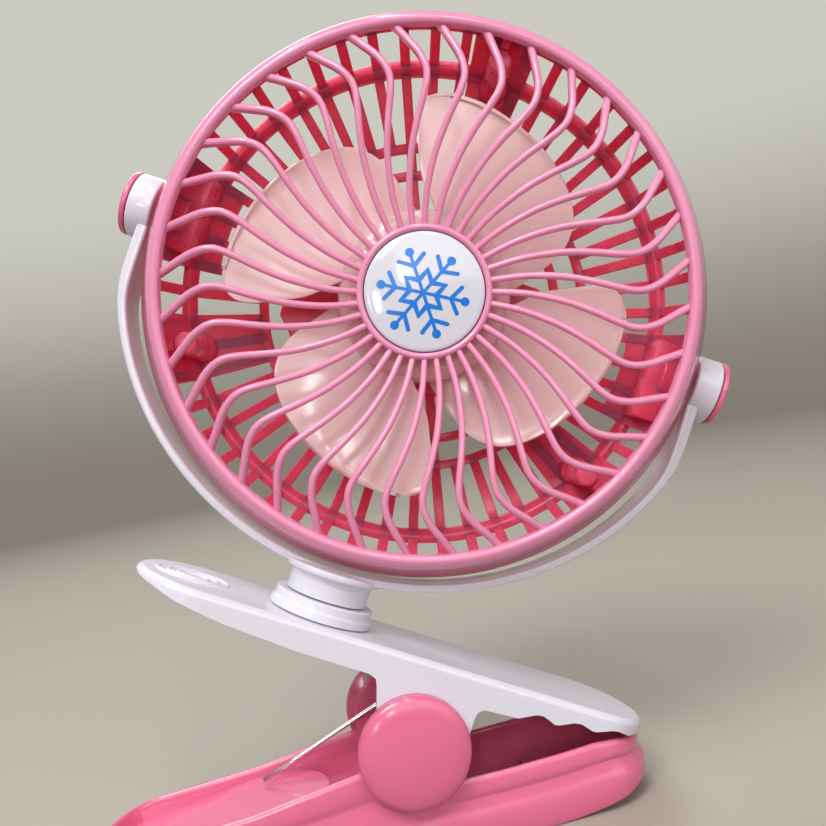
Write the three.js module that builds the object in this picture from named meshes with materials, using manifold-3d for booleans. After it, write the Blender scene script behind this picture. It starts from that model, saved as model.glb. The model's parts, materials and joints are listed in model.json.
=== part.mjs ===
// A small clip-on fan: a round caged fan head tilts in a U-shaped yoke, the yoke swivels on
// the upper jaw of a spring clip, and the clip stands on the flat base of its lower jaw.
// Millimetres. +Z is up, +X runs along the base towards the nose, and the fan faces -Y.
// The origin is the middle of the flat base, on the surface it stands on.
import * as THREE from 'three';
import { mergeVertices } from 'three/addons/utils/BufferGeometryUtils.js';
import Module from 'manifold-3d';

const wasm = await Module();
wasm.setup();

// ---- Driving dimensions ----
const gap = 0.3;                    // between pieces that touch or seat on each other
const degree = Math.PI / 180;

// Fan head, measured from its centre, where the fan's axis crosses the tilt axis
const rimRadius = 77.5;             // front rim, outside
const rimFront = 22;                // front rim plane, ahead of the tilt axis
const rimWidth = 4.2;               // front rim, inner lip to outer edge
const rimFlare = 4.3;               // how much wider the rim is at its back edge
const splitDepth = 9;               // seam between the guards, ahead of the tilt axis
const wallThickness = 2;
const barCount = 36;
const barDepth = 2.6;
const barSweep = 3.4;               // degrees, how far a bar's two ends are out of line
const badgeRadius = 17;
const badgeFront = 17.6;            // top of the badge's dome, ahead of the tilt axis
const badgeSeatDepth = 2.6;
const ribCount = 52;                // ribs round the rear guard
const ribWidth = 2.4;
const cornerDepth = 8;              // rear corner ring, behind the tilt axis
const cornerInset = 4;              // the corner ring is that much smaller than the rim
const backDish = 15;                // how far the back plate bulges behind the corner
const outerRingRadius = 51;
const innerRingRadius = 42.5;
const screwCount = 3;
const screwCircle = 69.5;
const screwPostRadius = 4.2;

// Electrics pod on the back of the head
const podHalfWidth = 42;
const podTop = 16;
const podBottom = -26;
const podChamfer = 9;
const podFront = 14;
const podSeam = 26;
const podBack = 40;
const motorSeatRadius = 23;
const motorRadius = 12.2;
const motorFront = -7;
const shaftRadius = 1;
const grommetPlace = { x: 22.5, z: 17.5 };
const grommetRadius = 3.4;
const cellRadius = 9.2;
const cellLength = 65;
const cellHeight = -5;
const buttonRadius = 4;
const buttonFlange = 0.9;           // how far its flange reaches past its edge
const buttonTravel = 1.2;
const controlMargin = 0.5;          // between the button's flange and the pod's top wall
const boardDepth = 6;               // board's back face, inside the pod's back
const socketWidth = 8;
const socketHeight = 3;
const socketPlace = 15;
const lightRadius = 1.5;
const lightPlace = -13;
const coverScrewPlace = { x: 34.5, z: -17 };

// Impeller
const bladeCount = 4;
const tipRadius = 58.6;
const hubRadius = 25;
const hubFront = -12;
const hubBack = 4;
const bladeThickness = 1.2;
const bladeTurn = 18.2;             // degrees, the angle at which the blades have stopped

// Yoke and swivel
const yokeClearance = 1.4;          // between the rim's back edge and the yoke, at the bottom
const yokeSideRoom = 4.1;           // how much wider the yoke's curve is than it is deep
const yokeThickness = 2.6;
const yokeArmThickness = 3.5;
const yokeWidth = 14;
const pivotGap = 0.5;               // friction washer between the head and the yoke
const knobRadius = 9.5;
const knobLength = 7.4;
const pivotCapThickness = 1.7;
const pivotScrewRadius = 2;
const neckRadius = 12.85;
const neckLength = 6.5;
const collarRadius = 14.6;
const collarHeight = 5;
const spigotRadius = 6;
const swivelTurn = 7.5;             // degrees, the yoke is turned on the clip
const headTilt = 3.6;               // degrees, the head is tipped in the yoke

// Clip
const baseLength = 160;
const jawHalfWidth = 20;
const jawWall = 2;
const clipLean = 28.3;              // degrees, the upper jaw leans towards the nose
const pinPlace = { x: 10.4, z: 29.9 };
const pinRadius = 2;
const pinOverhang = 3.4;            // how far the pin reaches into each ear cap
const pinFromNeck = 34.4;           // along the upper jaw, neck axis to pin
const pinBelowPlate = 24.2;
const handleReach = 54;             // upper jaw, neck axis to the handle's end
const noseReach = 106.5;            // upper jaw, neck axis to the nose
const plateThickness = 2.5;
const skirtDepth = 8;               // side wall of the upper jaw
const jawDepth = 9;                 // teeth line below the plate's top
const toothHeight = 1.8;
const gripRadius = 8.8;             // outer ring of the finger grip, before it is stretched
const gripPlace = 20;               // finger grip, from the handle's end
const earRadius = 12;
const lugRadius = 16.5;             // round wall of the lower jaw inside each ear
const lugThickness = 2.6;
const earCapRadius = 15.6;
const earCapHeight = 5.6;
const earCapRimHeight = 2.2;
const rimNearNose = 10.4;           // rim heights of the lower jaw
const rimMiddle = 13.8;
const rimAtPin = 27;
const rimHandle = 21.5;
const rimHandleEnd = 18.5;
const trayDepth = 6;                // handle's floor below its rim
const springTurns = 8;
const springRadius = 7.2;
const springPitch = 2.35;
const wireRadius = 0.7;
const lowerLegTurn = 202;           // degrees, seen from the front
const lowerLegLength = 43.9;
const upperLegTurn = 100;           // degrees, in the upper jaw's own frame

// ---- Sizes that follow ----
const flareRadius = rimRadius + rimFlare;
const rimInner = rimRadius - rimWidth;
const cornerRadius = rimRadius - cornerInset;
const yokeInner = flareRadius + yokeClearance;
const pivotFace = flareRadius;
const knobInner = pivotFace + pivotGap * 2;
const knobOuter = knobInner + knobLength;
const neckBottom = yokeInner + yokeThickness + neckLength;
const collarTop = neckBottom + gap;
const plateTop = collarTop + collarHeight + gap;
const plateUnder = plateTop + plateThickness;
const pinDrop = plateTop + pinBelowPlate;
const lean = clipLean * degree;
const headPlace = {
  x: pinPlace.x - pinFromNeck * Math.cos(lean) + pinDrop * Math.sin(lean),
  z: pinPlace.z + pinFromNeck * Math.sin(lean) + pinDrop * Math.cos(lean),
};
const noseX = baseLength / 2;
const buttonEdge = buttonRadius + buttonFlange;
const controlHeight = podTop - wallThickness - controlMargin - buttonEdge;  // button, socket and light
const boardBack = podBack - boardDepth;

// ---- Colours and finishes ----
const finish = (color, roughness, metalness = 0) =>
  new THREE.MeshStandardMaterial({ color, roughness, metalness });
const palePink = finish(0xef9dbd, 0.25);
const deepPink = finish(0xe0607f, 0.3);
const clipPink = finish(0xe9719f, 0.28);
const whitePlastic = finish(0xe9e8f0, 0.3);
const bladePlastic = finish(0xecc9c6, 0.22);
const badgeWhite = finish(0xf2f4f8, 0.15);
const steel = finish(0xc9ccd0, 0.25, 1);
const blackPlastic = finish(0x17171a, 0.5);
const boardGreen = finish(0x1d6b46, 0.6);
const cellWrap = finish(0x3b78b5, 0.4);
const lightLens = finish(0xd8e6ee, 0.1);

// ---- Making solids ----
function signedVolume(position, index) {
  const [a, b, c] = [new THREE.Vector3(), new THREE.Vector3(), new THREE.Vector3()];
  let sum = 0;
  for (let i = 0; i < index.length; i += 3) {
    a.fromBufferAttribute(position, index[i]);
    b.fromBufferAttribute(position, index[i + 1]);
    c.fromBufferAttribute(position, index[i + 2]);
    sum += a.dot(b.cross(c));
  }
  return sum / 6;
}

function solid(geometry) {
  const bare = geometry.index ? geometry.toNonIndexed() : geometry.clone();
  bare.deleteAttribute('normal');
  bare.deleteAttribute('uv');
  const merged = mergeVertices(bare, 1e-4);
  const corners = merged.index.array;
  const kept = [];
  for (let i = 0; i < corners.length; i += 3) {
    const [a, b, c] = corners.slice(i, i + 3);
    if (a !== b && b !== c && c !== a) kept.push(a, b, c);
  }
  if (signedVolume(merged.attributes.position, kept) < 0) kept.reverse();
  return new wasm.Manifold(new wasm.Mesh({
    numProp: 3,
    vertProperties: new Float32Array(merged.attributes.position.array),
    triVerts: new Uint32Array(kept),
  }));
}

function joined(...pieces) {
  return pieces.flat().reduce((whole, piece) => whole.add(piece));
}

function cutBy(whole, ...tools) {
  return tools.flat().reduce((rest, tool) => rest.subtract(tool), whole);
}

function mesh(name, shape, material) {
  const { vertProperties, triVerts } = shape.getMesh();
  const geometry = new THREE.BufferGeometry();
  geometry.setAttribute('position', new THREE.BufferAttribute(new Float32Array(vertProperties), 3));
  geometry.setIndex(new THREE.BufferAttribute(new Uint32Array(triVerts), 1));
  geometry.computeVertexNormals();
  const part = new THREE.Mesh(geometry, material);
  part.name = name;
  return part;
}

// ---- Basic shapes ----
function block(x0, x1, y0, y1, z0, z1) {
  const box = new THREE.BoxGeometry(x1 - x0, y1 - y0, z1 - z0);
  return solid(box.translate((x0 + x1) / 2, (y0 + y1) / 2, (z0 + z1) / 2));
}

// A round bar from one end to the other along an axis, at a place across that axis
function rod(axis, radius, from, to, across = [0, 0], sides = 16) {
  const bar = new THREE.CylinderGeometry(radius, radius, Math.abs(to - from), sides);
  const middle = (from + to) / 2;
  if (axis === 'x') bar.rotateZ(Math.PI / 2).translate(middle, across[0], across[1]);
  if (axis === 'y') bar.translate(across[0], middle, across[1]);
  if (axis === 'z') bar.rotateX(Math.PI / 2).translate(across[0], across[1], middle);
  return solid(bar);
}

// A closed outline of [radius, place] points turned about an axis
function turned(axis, outline, sides = 32) {
  const points = [...outline, outline[0]].map(([r, along]) => new THREE.Vector2(r, along));
  const shape = new THREE.LatheGeometry(points, sides);
  if (axis === 'x') shape.rotateZ(-Math.PI / 2);
  if (axis === 'z') shape.rotateX(Math.PI / 2);
  return solid(shape);
}

// An outline drawn in X and Z, given thickness along Y
function acrossY(outline, y0, y1, curveSegments = 8) {
  const isShape = outline instanceof THREE.Shape;
  const shape = isShape ? outline : new THREE.Shape(outline.map(([x, z]) => new THREE.Vector2(x, z)));
  const slab = new THREE.ExtrudeGeometry(shape, { depth: y1 - y0, bevelEnabled: false, curveSegments });
  return solid(slab.rotateX(Math.PI / 2).translate(0, y1, 0));
}

// An outline drawn in X and Y, given thickness along Z
function upright(shape, z0, z1, curveSegments = 8) {
  const slab = new THREE.ExtrudeGeometry(shape, { depth: z1 - z0, bevelEnabled: false, curveSegments });
  return solid(slab.translate(0, 0, z0));
}

// A solid through a row of rings that all have the same number of points
function lofted(rings) {
  const count = rings[0].length;
  const position = rings.flat().flatMap((p) => [p.x, p.y, p.z]);
  const index = [];
  for (let i = 0; i + 1 < rings.length; i += 1) {
    for (let j = 0; j < count; j += 1) {
      const a = i * count + j;
      const b = i * count + (j + 1) % count;
      index.push(a, b, b + count, a, b + count, a + count);
    }
  }
  const last = (rings.length - 1) * count;
  for (let j = 1; j + 1 < count; j += 1) {
    index.push(0, j + 1, j);
    index.push(last, last + j, last + j + 1);
  }
  const geometry = new THREE.BufferGeometry();
  geometry.setAttribute('position', new THREE.Float32BufferAttribute(position, 3));
  geometry.setIndex(index);
  return solid(geometry);
}

// A place on the fan head: radius and angle seen from the front, and depth along Y
function polar(radius, angle, y) {
  return new THREE.Vector3(radius * Math.cos(angle), y, radius * Math.sin(angle));
}

function aroundFan(shape, angle) {
  return shape.rotate([0, -angle / degree, 0]);
}

// ---- Front guard ----
function rimSection() {
  return [
    [rimInner, -rimFront + 3.4],
    [rimInner + 0.9, -rimFront + 1],
    [rimInner + 2.6, -rimFront],
    [rimRadius, -rimFront + 2.4],
    [flareRadius, -splitDepth - gap / 2],
    [flareRadius - wallThickness, -splitDepth - gap / 2],
    [rimRadius - 2.2, -rimFront + 5],
  ];
}

// One S-shaped bar: it swings back from the hub ring, turns at the shoulder and meets the rim
function guardBar(startAngle) {
  const hubRing = badgeRadius + 1.6;
  const shoulder = rimInner - 14.5;
  const route = [
    [hubRing, 0, -badgeFront + 0.9],
    [hubRing + 11, -0.8, -19.4],
    [hubRing + 21, -4.8, -22],
    [shoulder - 5, -9.9, -24.6],
    [shoulder, -10.6, -25],
    [shoulder + 5.5, -8.7, -24],
    [rimInner + 1.6, -barSweep, -20.4],
  ].map(([r, turn, y]) => polar(r, startAngle + turn * degree, y));
  const path = new THREE.CatmullRomCurve3(route);
  const steps = 6;
  const rings = [];
  for (let i = 0; i <= steps; i += 1) {
    const share = i / steps;
    const place = path.getPoint(share);
    const ahead = path.getTangent(share);
    const side = new THREE.Vector3(ahead.z, 0, -ahead.x).normalize();
    const width = 1.4 + 0.8 * share;
    const corner = (across, down) => {
      return place.clone().addScaledVector(side, across * width / 2).setY(place.y + down);
    };
    rings.push([corner(-0.7, 0), corner(0.7, 0), corner(1, barDepth), corner(-1, barDepth)]);
  }
  return lofted(rings);
}

function badgeSeat() {
  const edge = badgeRadius + gap;
  return turned('y', [
    [0, -badgeFront + badgeSeatDepth + 2],
    [0, -badgeFront + badgeSeatDepth + 0.4],
    [edge, -badgeFront + badgeSeatDepth + 0.4],
    [edge, -badgeFront + 0.4],
    [edge + 0.9, -badgeFront],
    [edge + 2, -badgeFront + 0.8],
    [edge + 2, -badgeFront + badgeSeatDepth + 2],
  ], barCount);
}

function screwAngles() {
  return [...Array(screwCount).keys()].map((i) => Math.PI / 2 + i * 2 * Math.PI / screwCount);
}

function frontGuard() {
  // The flats of the rim and of the badge seat face the bars' ends
  const pitch = 2 * Math.PI / barCount;
  const barStart = pitch / 2 + barSweep * degree;
  const rim = turned('y', rimSection(), barCount);
  const seat = aroundFan(badgeSeat(), barStart + pitch / 2);
  const bars = [...Array(barCount).keys()].map((i) => guardBar(barStart + i * pitch));
  const lugs = screwAngles().map((angle) => {
    const back = -splitDepth - gap / 2;
    const post = rod('y', screwPostRadius, back - 5, back, [screwCircle, 0], 14);
    const web = block(screwCircle, rimRadius + wallThickness - 0.2, back - 4.6, back, -1.2, 1.2);
    const bore = rod('y', 1.5, back - 4, back + 1, [screwCircle, 0], 10);
    return aroundFan(joined(post, web).subtract(bore), angle);
  });
  return joined(rim, seat, bars, lugs);
}

function hubBadge() {
  const back = -badgeFront + badgeSeatDepth + 0.1;
  return turned('y', [
    [0, back],
    [0, -badgeFront - 0.9],
    [badgeRadius * 0.6, -badgeFront - 0.5],
    [badgeRadius - 0.6, -badgeFront + 0.4],
    [badgeRadius, -badgeFront + 1],
    [badgeRadius, back],
  ], 24);
}

// ---- Rear guard ----
function backPlace(radius) {
  const share = (cornerRadius - radius) / (cornerRadius - innerRingRadius);
  return cornerDepth + 1 + (backDish - 1) * Math.sin(Math.min(1, share) * Math.PI / 2);
}

function rearShell() {
  const seam = -splitDepth + gap / 2;
  const t = wallThickness;
  const inner = 12;
  return turned('y', [
    [flareRadius - 0.4, seam],
    [cornerRadius + 0.6, cornerDepth - 1.5],
    [cornerRadius - 1, backPlace(cornerRadius - 1)],
    [outerRingRadius, backPlace(outerRingRadius)],
    [innerRingRadius, backPlace(innerRingRadius)],
    [inner, backPlace(innerRingRadius)],
    [inner, backPlace(innerRingRadius) - t],
    [innerRingRadius, backPlace(innerRingRadius) - t],
    [outerRingRadius, backPlace(outerRingRadius) - t],
    [cornerRadius - t - 0.6, cornerDepth - t],
    [flareRadius - t - 0.4, seam],
  ], ribCount);
}

// Slots lie between the ribs, and each ring between two rows of slots stays solid
function slotTool(low, high, y0, y1, ribs) {
  const halfLow = low * Math.tan(Math.PI / ribs) - ribWidth / 2;
  const halfHigh = high * Math.tan(Math.PI / ribs) - ribWidth / 2;
  const outline = (r, half, y) => [
    new THREE.Vector3(r, y, -half),
    new THREE.Vector3(r, y, half),
  ];
  const [a, b] = outline(low, halfLow, y0);
  const [c, d] = outline(high, halfHigh, y0);
  const back = [a, b, d, c].map((p) => p.clone().setY(y1));
  return lofted([[a, b, d, c], back]);
}

function isOverPod(radius, angle, margin) {
  const x = Math.abs(radius * Math.cos(angle));
  const z = radius * Math.sin(angle);
  return x < podHalfWidth + margin && z < podTop + margin && z > podBottom - margin;
}

function nearScrewOrPivot(angle) {
  const turn = (other) => Math.abs(Math.atan2(Math.sin(angle - other), Math.cos(angle - other)));
  const nearScrew = screwAngles().some((other) => turn(other) < 4 * degree);
  const nearPivot = Math.min(turn(0), turn(Math.PI)) < 11.5 * degree;
  return { nearScrew, nearPivot };
}

function rearSlots() {
  const tools = [];
  const step = 2 * Math.PI / ribCount;
  const deep = backPlace(0) + 1;
  const window = slotTool(cornerRadius - 1.6, flareRadius + 2, -splitDepth + 3.4, cornerDepth - 1, ribCount);
  const long = slotTool(outerRingRadius + 1.6, cornerRadius - 3.6, cornerDepth - 2, deep, ribCount);
  const short = slotTool(innerRingRadius + 1.4, outerRingRadius - 1.4, cornerDepth - 2, deep, ribCount / 2);
  const centre = slotTool(26.5, innerRingRadius - 1.4, cornerDepth - 2, deep, ribCount / 2);
  for (let i = 0; i < ribCount; i += 1) {
    const angle = (i + 0.5) * step;
    const { nearScrew, nearPivot } = nearScrewOrPivot(angle);
    if (!nearScrew && !nearPivot) tools.push(aroundFan(window, angle));
    if (!nearScrew) tools.push(aroundFan(long, angle));
  }
  for (let i = 0; i < ribCount / 2; i += 1) {
    const angle = (2 * i + 1) * step;
    if (!isOverPod(innerRingRadius + 4, angle, 1)) tools.push(aroundFan(short, angle));
    if (!isOverPod(32, angle, 4)) tools.push(aroundFan(centre, angle));
  }
  return tools;
}

function podOutline(grow) {
  const [x, top, low, c] = [podHalfWidth + grow, podTop + grow, podBottom - grow, podChamfer];
  return [[-x + c, low], [x - c, low], [x, low + c], [x, top - c], [x - c, top],
    [-x + c, top], [-x, top - c], [-x, low + c]];
}

function podTray() {
  const outside = acrossY(podOutline(0), podFront, podSeam - gap / 2);
  const seat = rod('y', motorSeatRadius, podFront, podFront + 6, [0, 0], 20);
  const tab = block(14, 30, podFront, podFront + 6, 0, grommetPlace.z + grommetRadius + 2);
  const room = acrossY(podOutline(-wallThickness), podFront + wallThickness, podSeam + 1);
  return joined(cutBy(joined(outside, seat, tab), room), podPosts(podFront + 1, podSeam - gap / 2));
}

function podPosts(y0, y1) {
  return [-1, 1].map((side) => {
    const place = [side * coverScrewPlace.x, coverScrewPlace.z];
    return rod('y', 3, y0, y1, place, 12).subtract(rod('y', 1.4, podFront + 3, podBack, place, 10));
  });
}

function screwPosts() {
  const front = -splitDepth + gap / 2;
  return screwAngles().map((angle) => {
    const back = backPlace(screwCircle);
    const post = rod('y', screwPostRadius, front, back, [screwCircle, 0], 12);
    const web = block(screwCircle, cornerRadius + 0.5, front + 1, cornerDepth - 2, -1.2, 1.2);
    return aroundFan(joined(post, web), angle);
  });
}

function screwBores() {
  return screwAngles().map((angle) => {
    const bore = rod('y', 1.5, -splitDepth - 1, cornerDepth + 4, [screwCircle, 0], 10);
    const mouth = rod('y', 2.9, cornerDepth - 1, cornerDepth + 8, [screwCircle, 0], 12);
    return aroundFan(joined(bore, mouth), angle);
  });
}

function pivotPad(side) {
  return rod('x', 7.6, side * (cornerRadius - 5), side * pivotFace);
}

function rearGuard() {
  const slotted = cutBy(rearShell(), rearSlots(), acrossY(podOutline(-1), 0, backPlace(0) + 2));
  const pads = [-1, 1].map(pivotPad);
  const body = joined(slotted, podTray(), screwPosts(), pads);
  const hole = (radius, x, z, sides) => rod('y', radius, podFront - 1, podFront + 7, [x, z], sides);
  const motorHole = hole(4, 0, 0, 16);
  const motorScrewHoles = motorScrewPlaces().map((z) => hole(1.3, 0, z, 10));
  const grommetHole = hole(grommetRadius - 1, grommetPlace.x, grommetPlace.z, 14);
  const pivotBores = [-1, 1].map((side) => {
    return rod('x', pivotScrewRadius + gap, side * (cornerRadius - 6), side * (pivotFace + 1), [0, 0], 14);
  });
  return cutBy(body, screwBores(), pivotBores, motorHole, motorScrewHoles, grommetHole);
}

function guardScrew(angle) {
  const head = rod('y', 2.6, cornerDepth - 0.7, cornerDepth + 1.1, [screwCircle, 0], 12);
  const shank = rod('y', 1.2, -splitDepth - 3.4, cornerDepth - 0.5, [screwCircle, 0], 10);
  return aroundFan(joined(head, shank), angle);
}

// ---- Electrics ----
function podCover() {
  const front = podSeam + gap / 2;
  const outside = acrossY(podOutline(0), front, podBack);
  const room = acrossY(podOutline(-wallThickness), front - 1, podBack - wallThickness);
  const shell = joined(outside.subtract(room), podPosts(front, podBack - 1));
  const mouths = [-1, 1].map((side) => {
    return rod('y', 2.8, podBack - 2.4, podBack + 1, [side * coverScrewPlace.x, coverScrewPlace.z], 12);
  });
  const buttonHole = rod('y', buttonRadius + gap, podBack - 3, podBack + 1, [0, controlHeight], 16);
  const lightHole = rod('y', lightRadius + gap, podBack - 3, podBack + 1, [lightPlace, controlHeight], 12);
  const socketHole = block(socketPlace - socketWidth / 2 - gap, socketPlace + socketWidth / 2 + gap,
    podBack - 3, podBack + 1, controlHeight - socketHeight / 2 - gap, controlHeight + socketHeight / 2 + gap);
  return cutBy(shell, mouths, buttonHole, lightHole, socketHole);
}

function coverScrew(side) {
  const place = [side * coverScrewPlace.x, coverScrewPlace.z];
  const head = rod('y', 2.5, podBack - 2.1, podBack - 0.4, place, 12);
  const shank = rod('y', 1.1, podFront + 5, podBack - 2, place, 10);
  return joined(head, shank);
}

function motorScrewPlaces() {
  return [-8, 8];
}

function motorBody() {
  const back = podFront - gap;
  const can = rod('y', motorRadius, motorFront, back, [0, 0], 20);
  const nose = rod('y', 3.4, motorFront - 1.6, motorFront + 1, [0, 0], 16);
  const pilot = rod('y', 3.6, back - 1, back + 1.6, [0, 0], 16);
  const shaftBore = rod('y', shaftRadius + gap, motorFront - 3, back - 4, [0, 0], 12);
  const screwBores = motorScrewPlaces().map((z) => rod('y', 1.3, back - 5, back + 1, [0, z], 10));
  return cutBy(joined(can, nose, pilot), shaftBore, screwBores);
}

function motorScrew(z) {
  const seat = podFront + wallThickness + gap / 3;
  return joined(rod('y', 2, seat, seat + 1.1, [0, z], 12), rod('y', 1, podFront - 4, seat + 0.5, [0, z], 10));
}

function motorShaft() {
  return rod('y', shaftRadius, hubFront + 2.4, podFront - 4.8, [0, 0], 12);
}

function wireGrommet() {
  const place = [grommetPlace.x, grommetPlace.z];
  const flange = rod('y', grommetRadius, podFront - 1.6, podFront - gap, place, 16);
  const sleeve = rod('y', grommetRadius - 1 - gap, podFront - 1, podFront + 3, place, 14);
  const wireHole = rod('y', 1, podFront - 2, podFront + 4, place, 10);
  return joined(flange, sleeve).subtract(wireHole);
}

function batteryCell() {
  const middle = (podFront + podBack) / 2;
  const place = [middle, cellHeight];
  const can = rod('x', cellRadius, -cellLength / 2, cellLength / 2 - 1, place, 16);
  const cap = rod('x', 3, cellLength / 2 - 1.5, cellLength / 2, place, 16);
  return joined(can, cap);
}

function batteryContact(side) {
  const middle = (podFront + podBack) / 2;
  const face = side * (cellLength / 2 + 0.4);
  const [low, high] = [face, face + side * 0.6].sort((a, b) => a - b);
  return block(low, high, middle - 5, middle + 5, cellHeight - 6, podFloor());
}

function podFloor() {
  return cellHeight + cellRadius + 1;
}

function circuitBoard() {
  const half = cellLength / 2 - 2;
  const top = podTop - wallThickness - gap;
  return block(-half, half, boardBack - 1.4, boardBack, cellHeight + cellRadius + 0.6, top);
}

function powerButton() {
  const place = [0, controlHeight];
  const stem = rod('y', 1.6, boardBack + buttonTravel + gap, podBack - 3, place, 12);
  const flange = rod('y', buttonEdge, podBack - 3.4, podBack - wallThickness - gap, place, 20);
  const cap = turned('y', [
    [0, podBack - 3],
    [buttonRadius, podBack - 3],
    [buttonRadius, podBack + 1],
    [buttonRadius - 0.6, podBack + 1.6],
    [0, podBack + 1.8],
  ], 16).translate([0, 0, controlHeight]);
  return joined(stem, flange, cap);
}

function usbSocket() {
  const [x, z] = [socketPlace, controlHeight];
  const outside = block(x - socketWidth / 2, x + socketWidth / 2, boardBack + gap, podBack - 0.2,
    z - socketHeight / 2, z + socketHeight / 2);
  const room = block(x - socketWidth / 2 + 0.5, x + socketWidth / 2 - 0.5, podBack - 4.6, podBack + 1,
    z - socketHeight / 2 + 0.5, z + socketHeight / 2 - 0.5);
  const tongue = block(x - 2, x + 2, podBack - 5, podBack - 1, z - 0.3, z + 0.3);
  return joined(outside.subtract(room), tongue);
}

function lightPipe() {
  return rod('y', lightRadius, boardBack + gap, podBack + 0.3, [lightPlace, controlHeight], 12);
}

// ---- Impeller ----
// Each blade is a wide petal: its clockwise edge curves out to the tip and lies to the rear
function blade(turn) {
  const stations = [
    [0.4, 2, 81],
    [0.56, 11, 90.5],
    [0.73, 18, 92.5],
    [0.83, 26, 93],
    [0.895, 36, 92],
    [0.945, 55, 91],
    [0.98, 70, 89],
    [1, 80, 86],
  ];
  const chordSteps = 3;
  const rings = stations.map(([share, rear, front]) => {
    const radius = share * tipRadius;
    const rise = 13.5 - 6 * share;
    const point = (i, lift) => {
      const along = i / chordSteps;
      const angle = (turn + rear + (front - rear) * along) * degree;
      const camber = Math.sin(along * Math.PI) * 1.8;
      const sweep = (75 - rear - (front - rear) * along) / 73;
      return polar(radius, angle, hubFront + 2.2 + rise * Math.max(0, sweep) + camber + lift);
    };
    const top = [...Array(chordSteps + 1).keys()].map((i) => point(i, 0));
    const under = [...Array(chordSteps + 1).keys()].map((i) => point(chordSteps - i, bladeThickness));
    return [...top, ...under];
  });
  return lofted(rings);
}

function impeller() {
  const wall = 1.8;
  const hub = turned('y', [
    [0, hubFront],
    [hubRadius - 3, hubFront + 0.4],
    [hubRadius - 0.6, hubFront + 1.6],
    [hubRadius, hubFront + 3.6],
    [hubRadius, hubBack],
    [hubRadius - wall, hubBack],
    [hubRadius - wall, hubFront + 2.6],
    [3.2, hubFront + wall],
    [3.2, motorFront - 2.2],
    [0, motorFront - 2.2],
  ], 24);
  const blades = [...Array(bladeCount).keys()].map((i) => blade(bladeTurn + i * 360 / bladeCount));
  const shaftBore = rod('y', shaftRadius + gap, hubFront + 2, hubBack, [0, 0], 12);
  const cup = rod('y', hubRadius - wall, hubFront + 2.6, hubBack + 9, [0, 0], 24);
  const core = rod('y', 3.2, hubFront + 2, motorFront - 2.2, [0, 0], 16);
  return cutBy(joined(hub, cutBy(joined(blades), cup), core), shaftBore);
}

// ---- Yoke and swivel ----
function yokeOutline() {
  const innerHalf = yokeInner + yokeSideRoom;
  const outerHalf = innerHalf + yokeThickness;
  const armOutside = knobInner + yokeArmThickness;
  const turnIn = Math.acos(knobInner / innerHalf);
  const turnOut = Math.acos(armOutside / outerHalf);
  const shape = new THREE.Shape();
  shape.moveTo(armOutside, 0);
  shape.lineTo(knobInner, 0);
  shape.absellipse(0, 0, innerHalf, yokeInner, -turnIn, -Math.PI + turnIn, true);
  shape.lineTo(-knobInner, 0);
  shape.lineTo(-armOutside, 0);
  shape.absellipse(0, 0, outerHalf, yokeInner + yokeThickness, -Math.PI + turnOut, -turnOut, false);
  return shape;
}

function yoke() {
  const band = acrossY(yokeOutline(), -yokeWidth / 2, yokeWidth / 2, 14);
  const knobs = [-1, 1].map((side) => rod('x', knobRadius, side * knobInner, side * knobOuter, [0, 0], 20));
  const neck = rod('z', neckRadius, -neckBottom, -yokeInner - 0.6, [0, 0], 24);
  const spigot = rod('z', spigotRadius, -plateUnder - gap / 2, -neckBottom + 1, [0, 0], 20);
  const screwBores = [-1, 1].map((side) => {
    const bore = rod('x', pivotScrewRadius + gap, side * (knobInner - 1), side * (knobOuter + 1), [0, 0], 14);
    const recess = rod('x', 5, side * (knobOuter - 4.4), side * (knobOuter + 1), [0, 0], 18);
    return joined(bore, recess);
  });
  const swivelBore = rod('z', 1.6, -plateUnder - 2, -neckBottom + 3, [0, 0], 12);
  return cutBy(joined(band, knobs, neck, spigot), screwBores, swivelBore);
}

function pivotScrew(side) {
  const headSeat = knobOuter - 4.4 + gap;
  const head = rod('x', 4.2, side * headSeat, side * (headSeat + 2), [0, 0], 16);
  const shank = rod('x', pivotScrewRadius, side * (cornerRadius - 4), side * (headSeat + 1), [0, 0], 14);
  return joined(head, shank);
}

function pivotWasher(side) {
  const inner = side * (pivotFace + 0.3);
  const outer = side * (pivotFace + 0.7);
  return rod('x', 6, inner, outer, [0, 0], 16).subtract(rod('x', 2.4, inner - 1, outer + 1, [0, 0], 14));
}

function pivotCap(side) {
  const face = knobOuter + gap;
  const rounded = [
    [0, face],
    [knobRadius, face],
    [knobRadius, face + pivotCapThickness - 0.6],
    [knobRadius - 0.6, face + pivotCapThickness],
    [0, face + pivotCapThickness + 0.2],
  ];
  const disc = turned('x', rounded, 20);
  const plug = rod('x', 5 - gap, face - 1.4, face + 0.5, [0, 0], 18);
  const cap = joined(disc, plug);
  return side > 0 ? cap : cap.mirror([1, 0, 0]);
}

function swivelCollar() {
  const low = -plateTop + gap;
  const top = -collarTop;
  return turned('z', [
    [spigotRadius + gap, low],
    [collarRadius + 0.6, low],
    [collarRadius + 0.6, low + collarHeight * 0.46],
    [collarRadius, low + collarHeight * 0.5],
    [collarRadius, top - 0.4],
    [collarRadius - 0.4, top],
    [spigotRadius + gap, top],
  ], 24);
}

function swivelWasher() {
  const top = -plateUnder - gap;
  return turned('z', [[1.9, top - 0.8], [9, top - 0.8], [9, top], [1.9, top]], 24);
}

function swivelScrew() {
  const top = -plateUnder - gap - 0.8 - gap;
  const head = rod('z', 3.2, top - 1.8, top, [0, 0], 16);
  const shank = rod('z', 1.3, top - 1, -neckBottom + 1, [0, 0], 12);
  return joined(head, shank);
}

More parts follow.
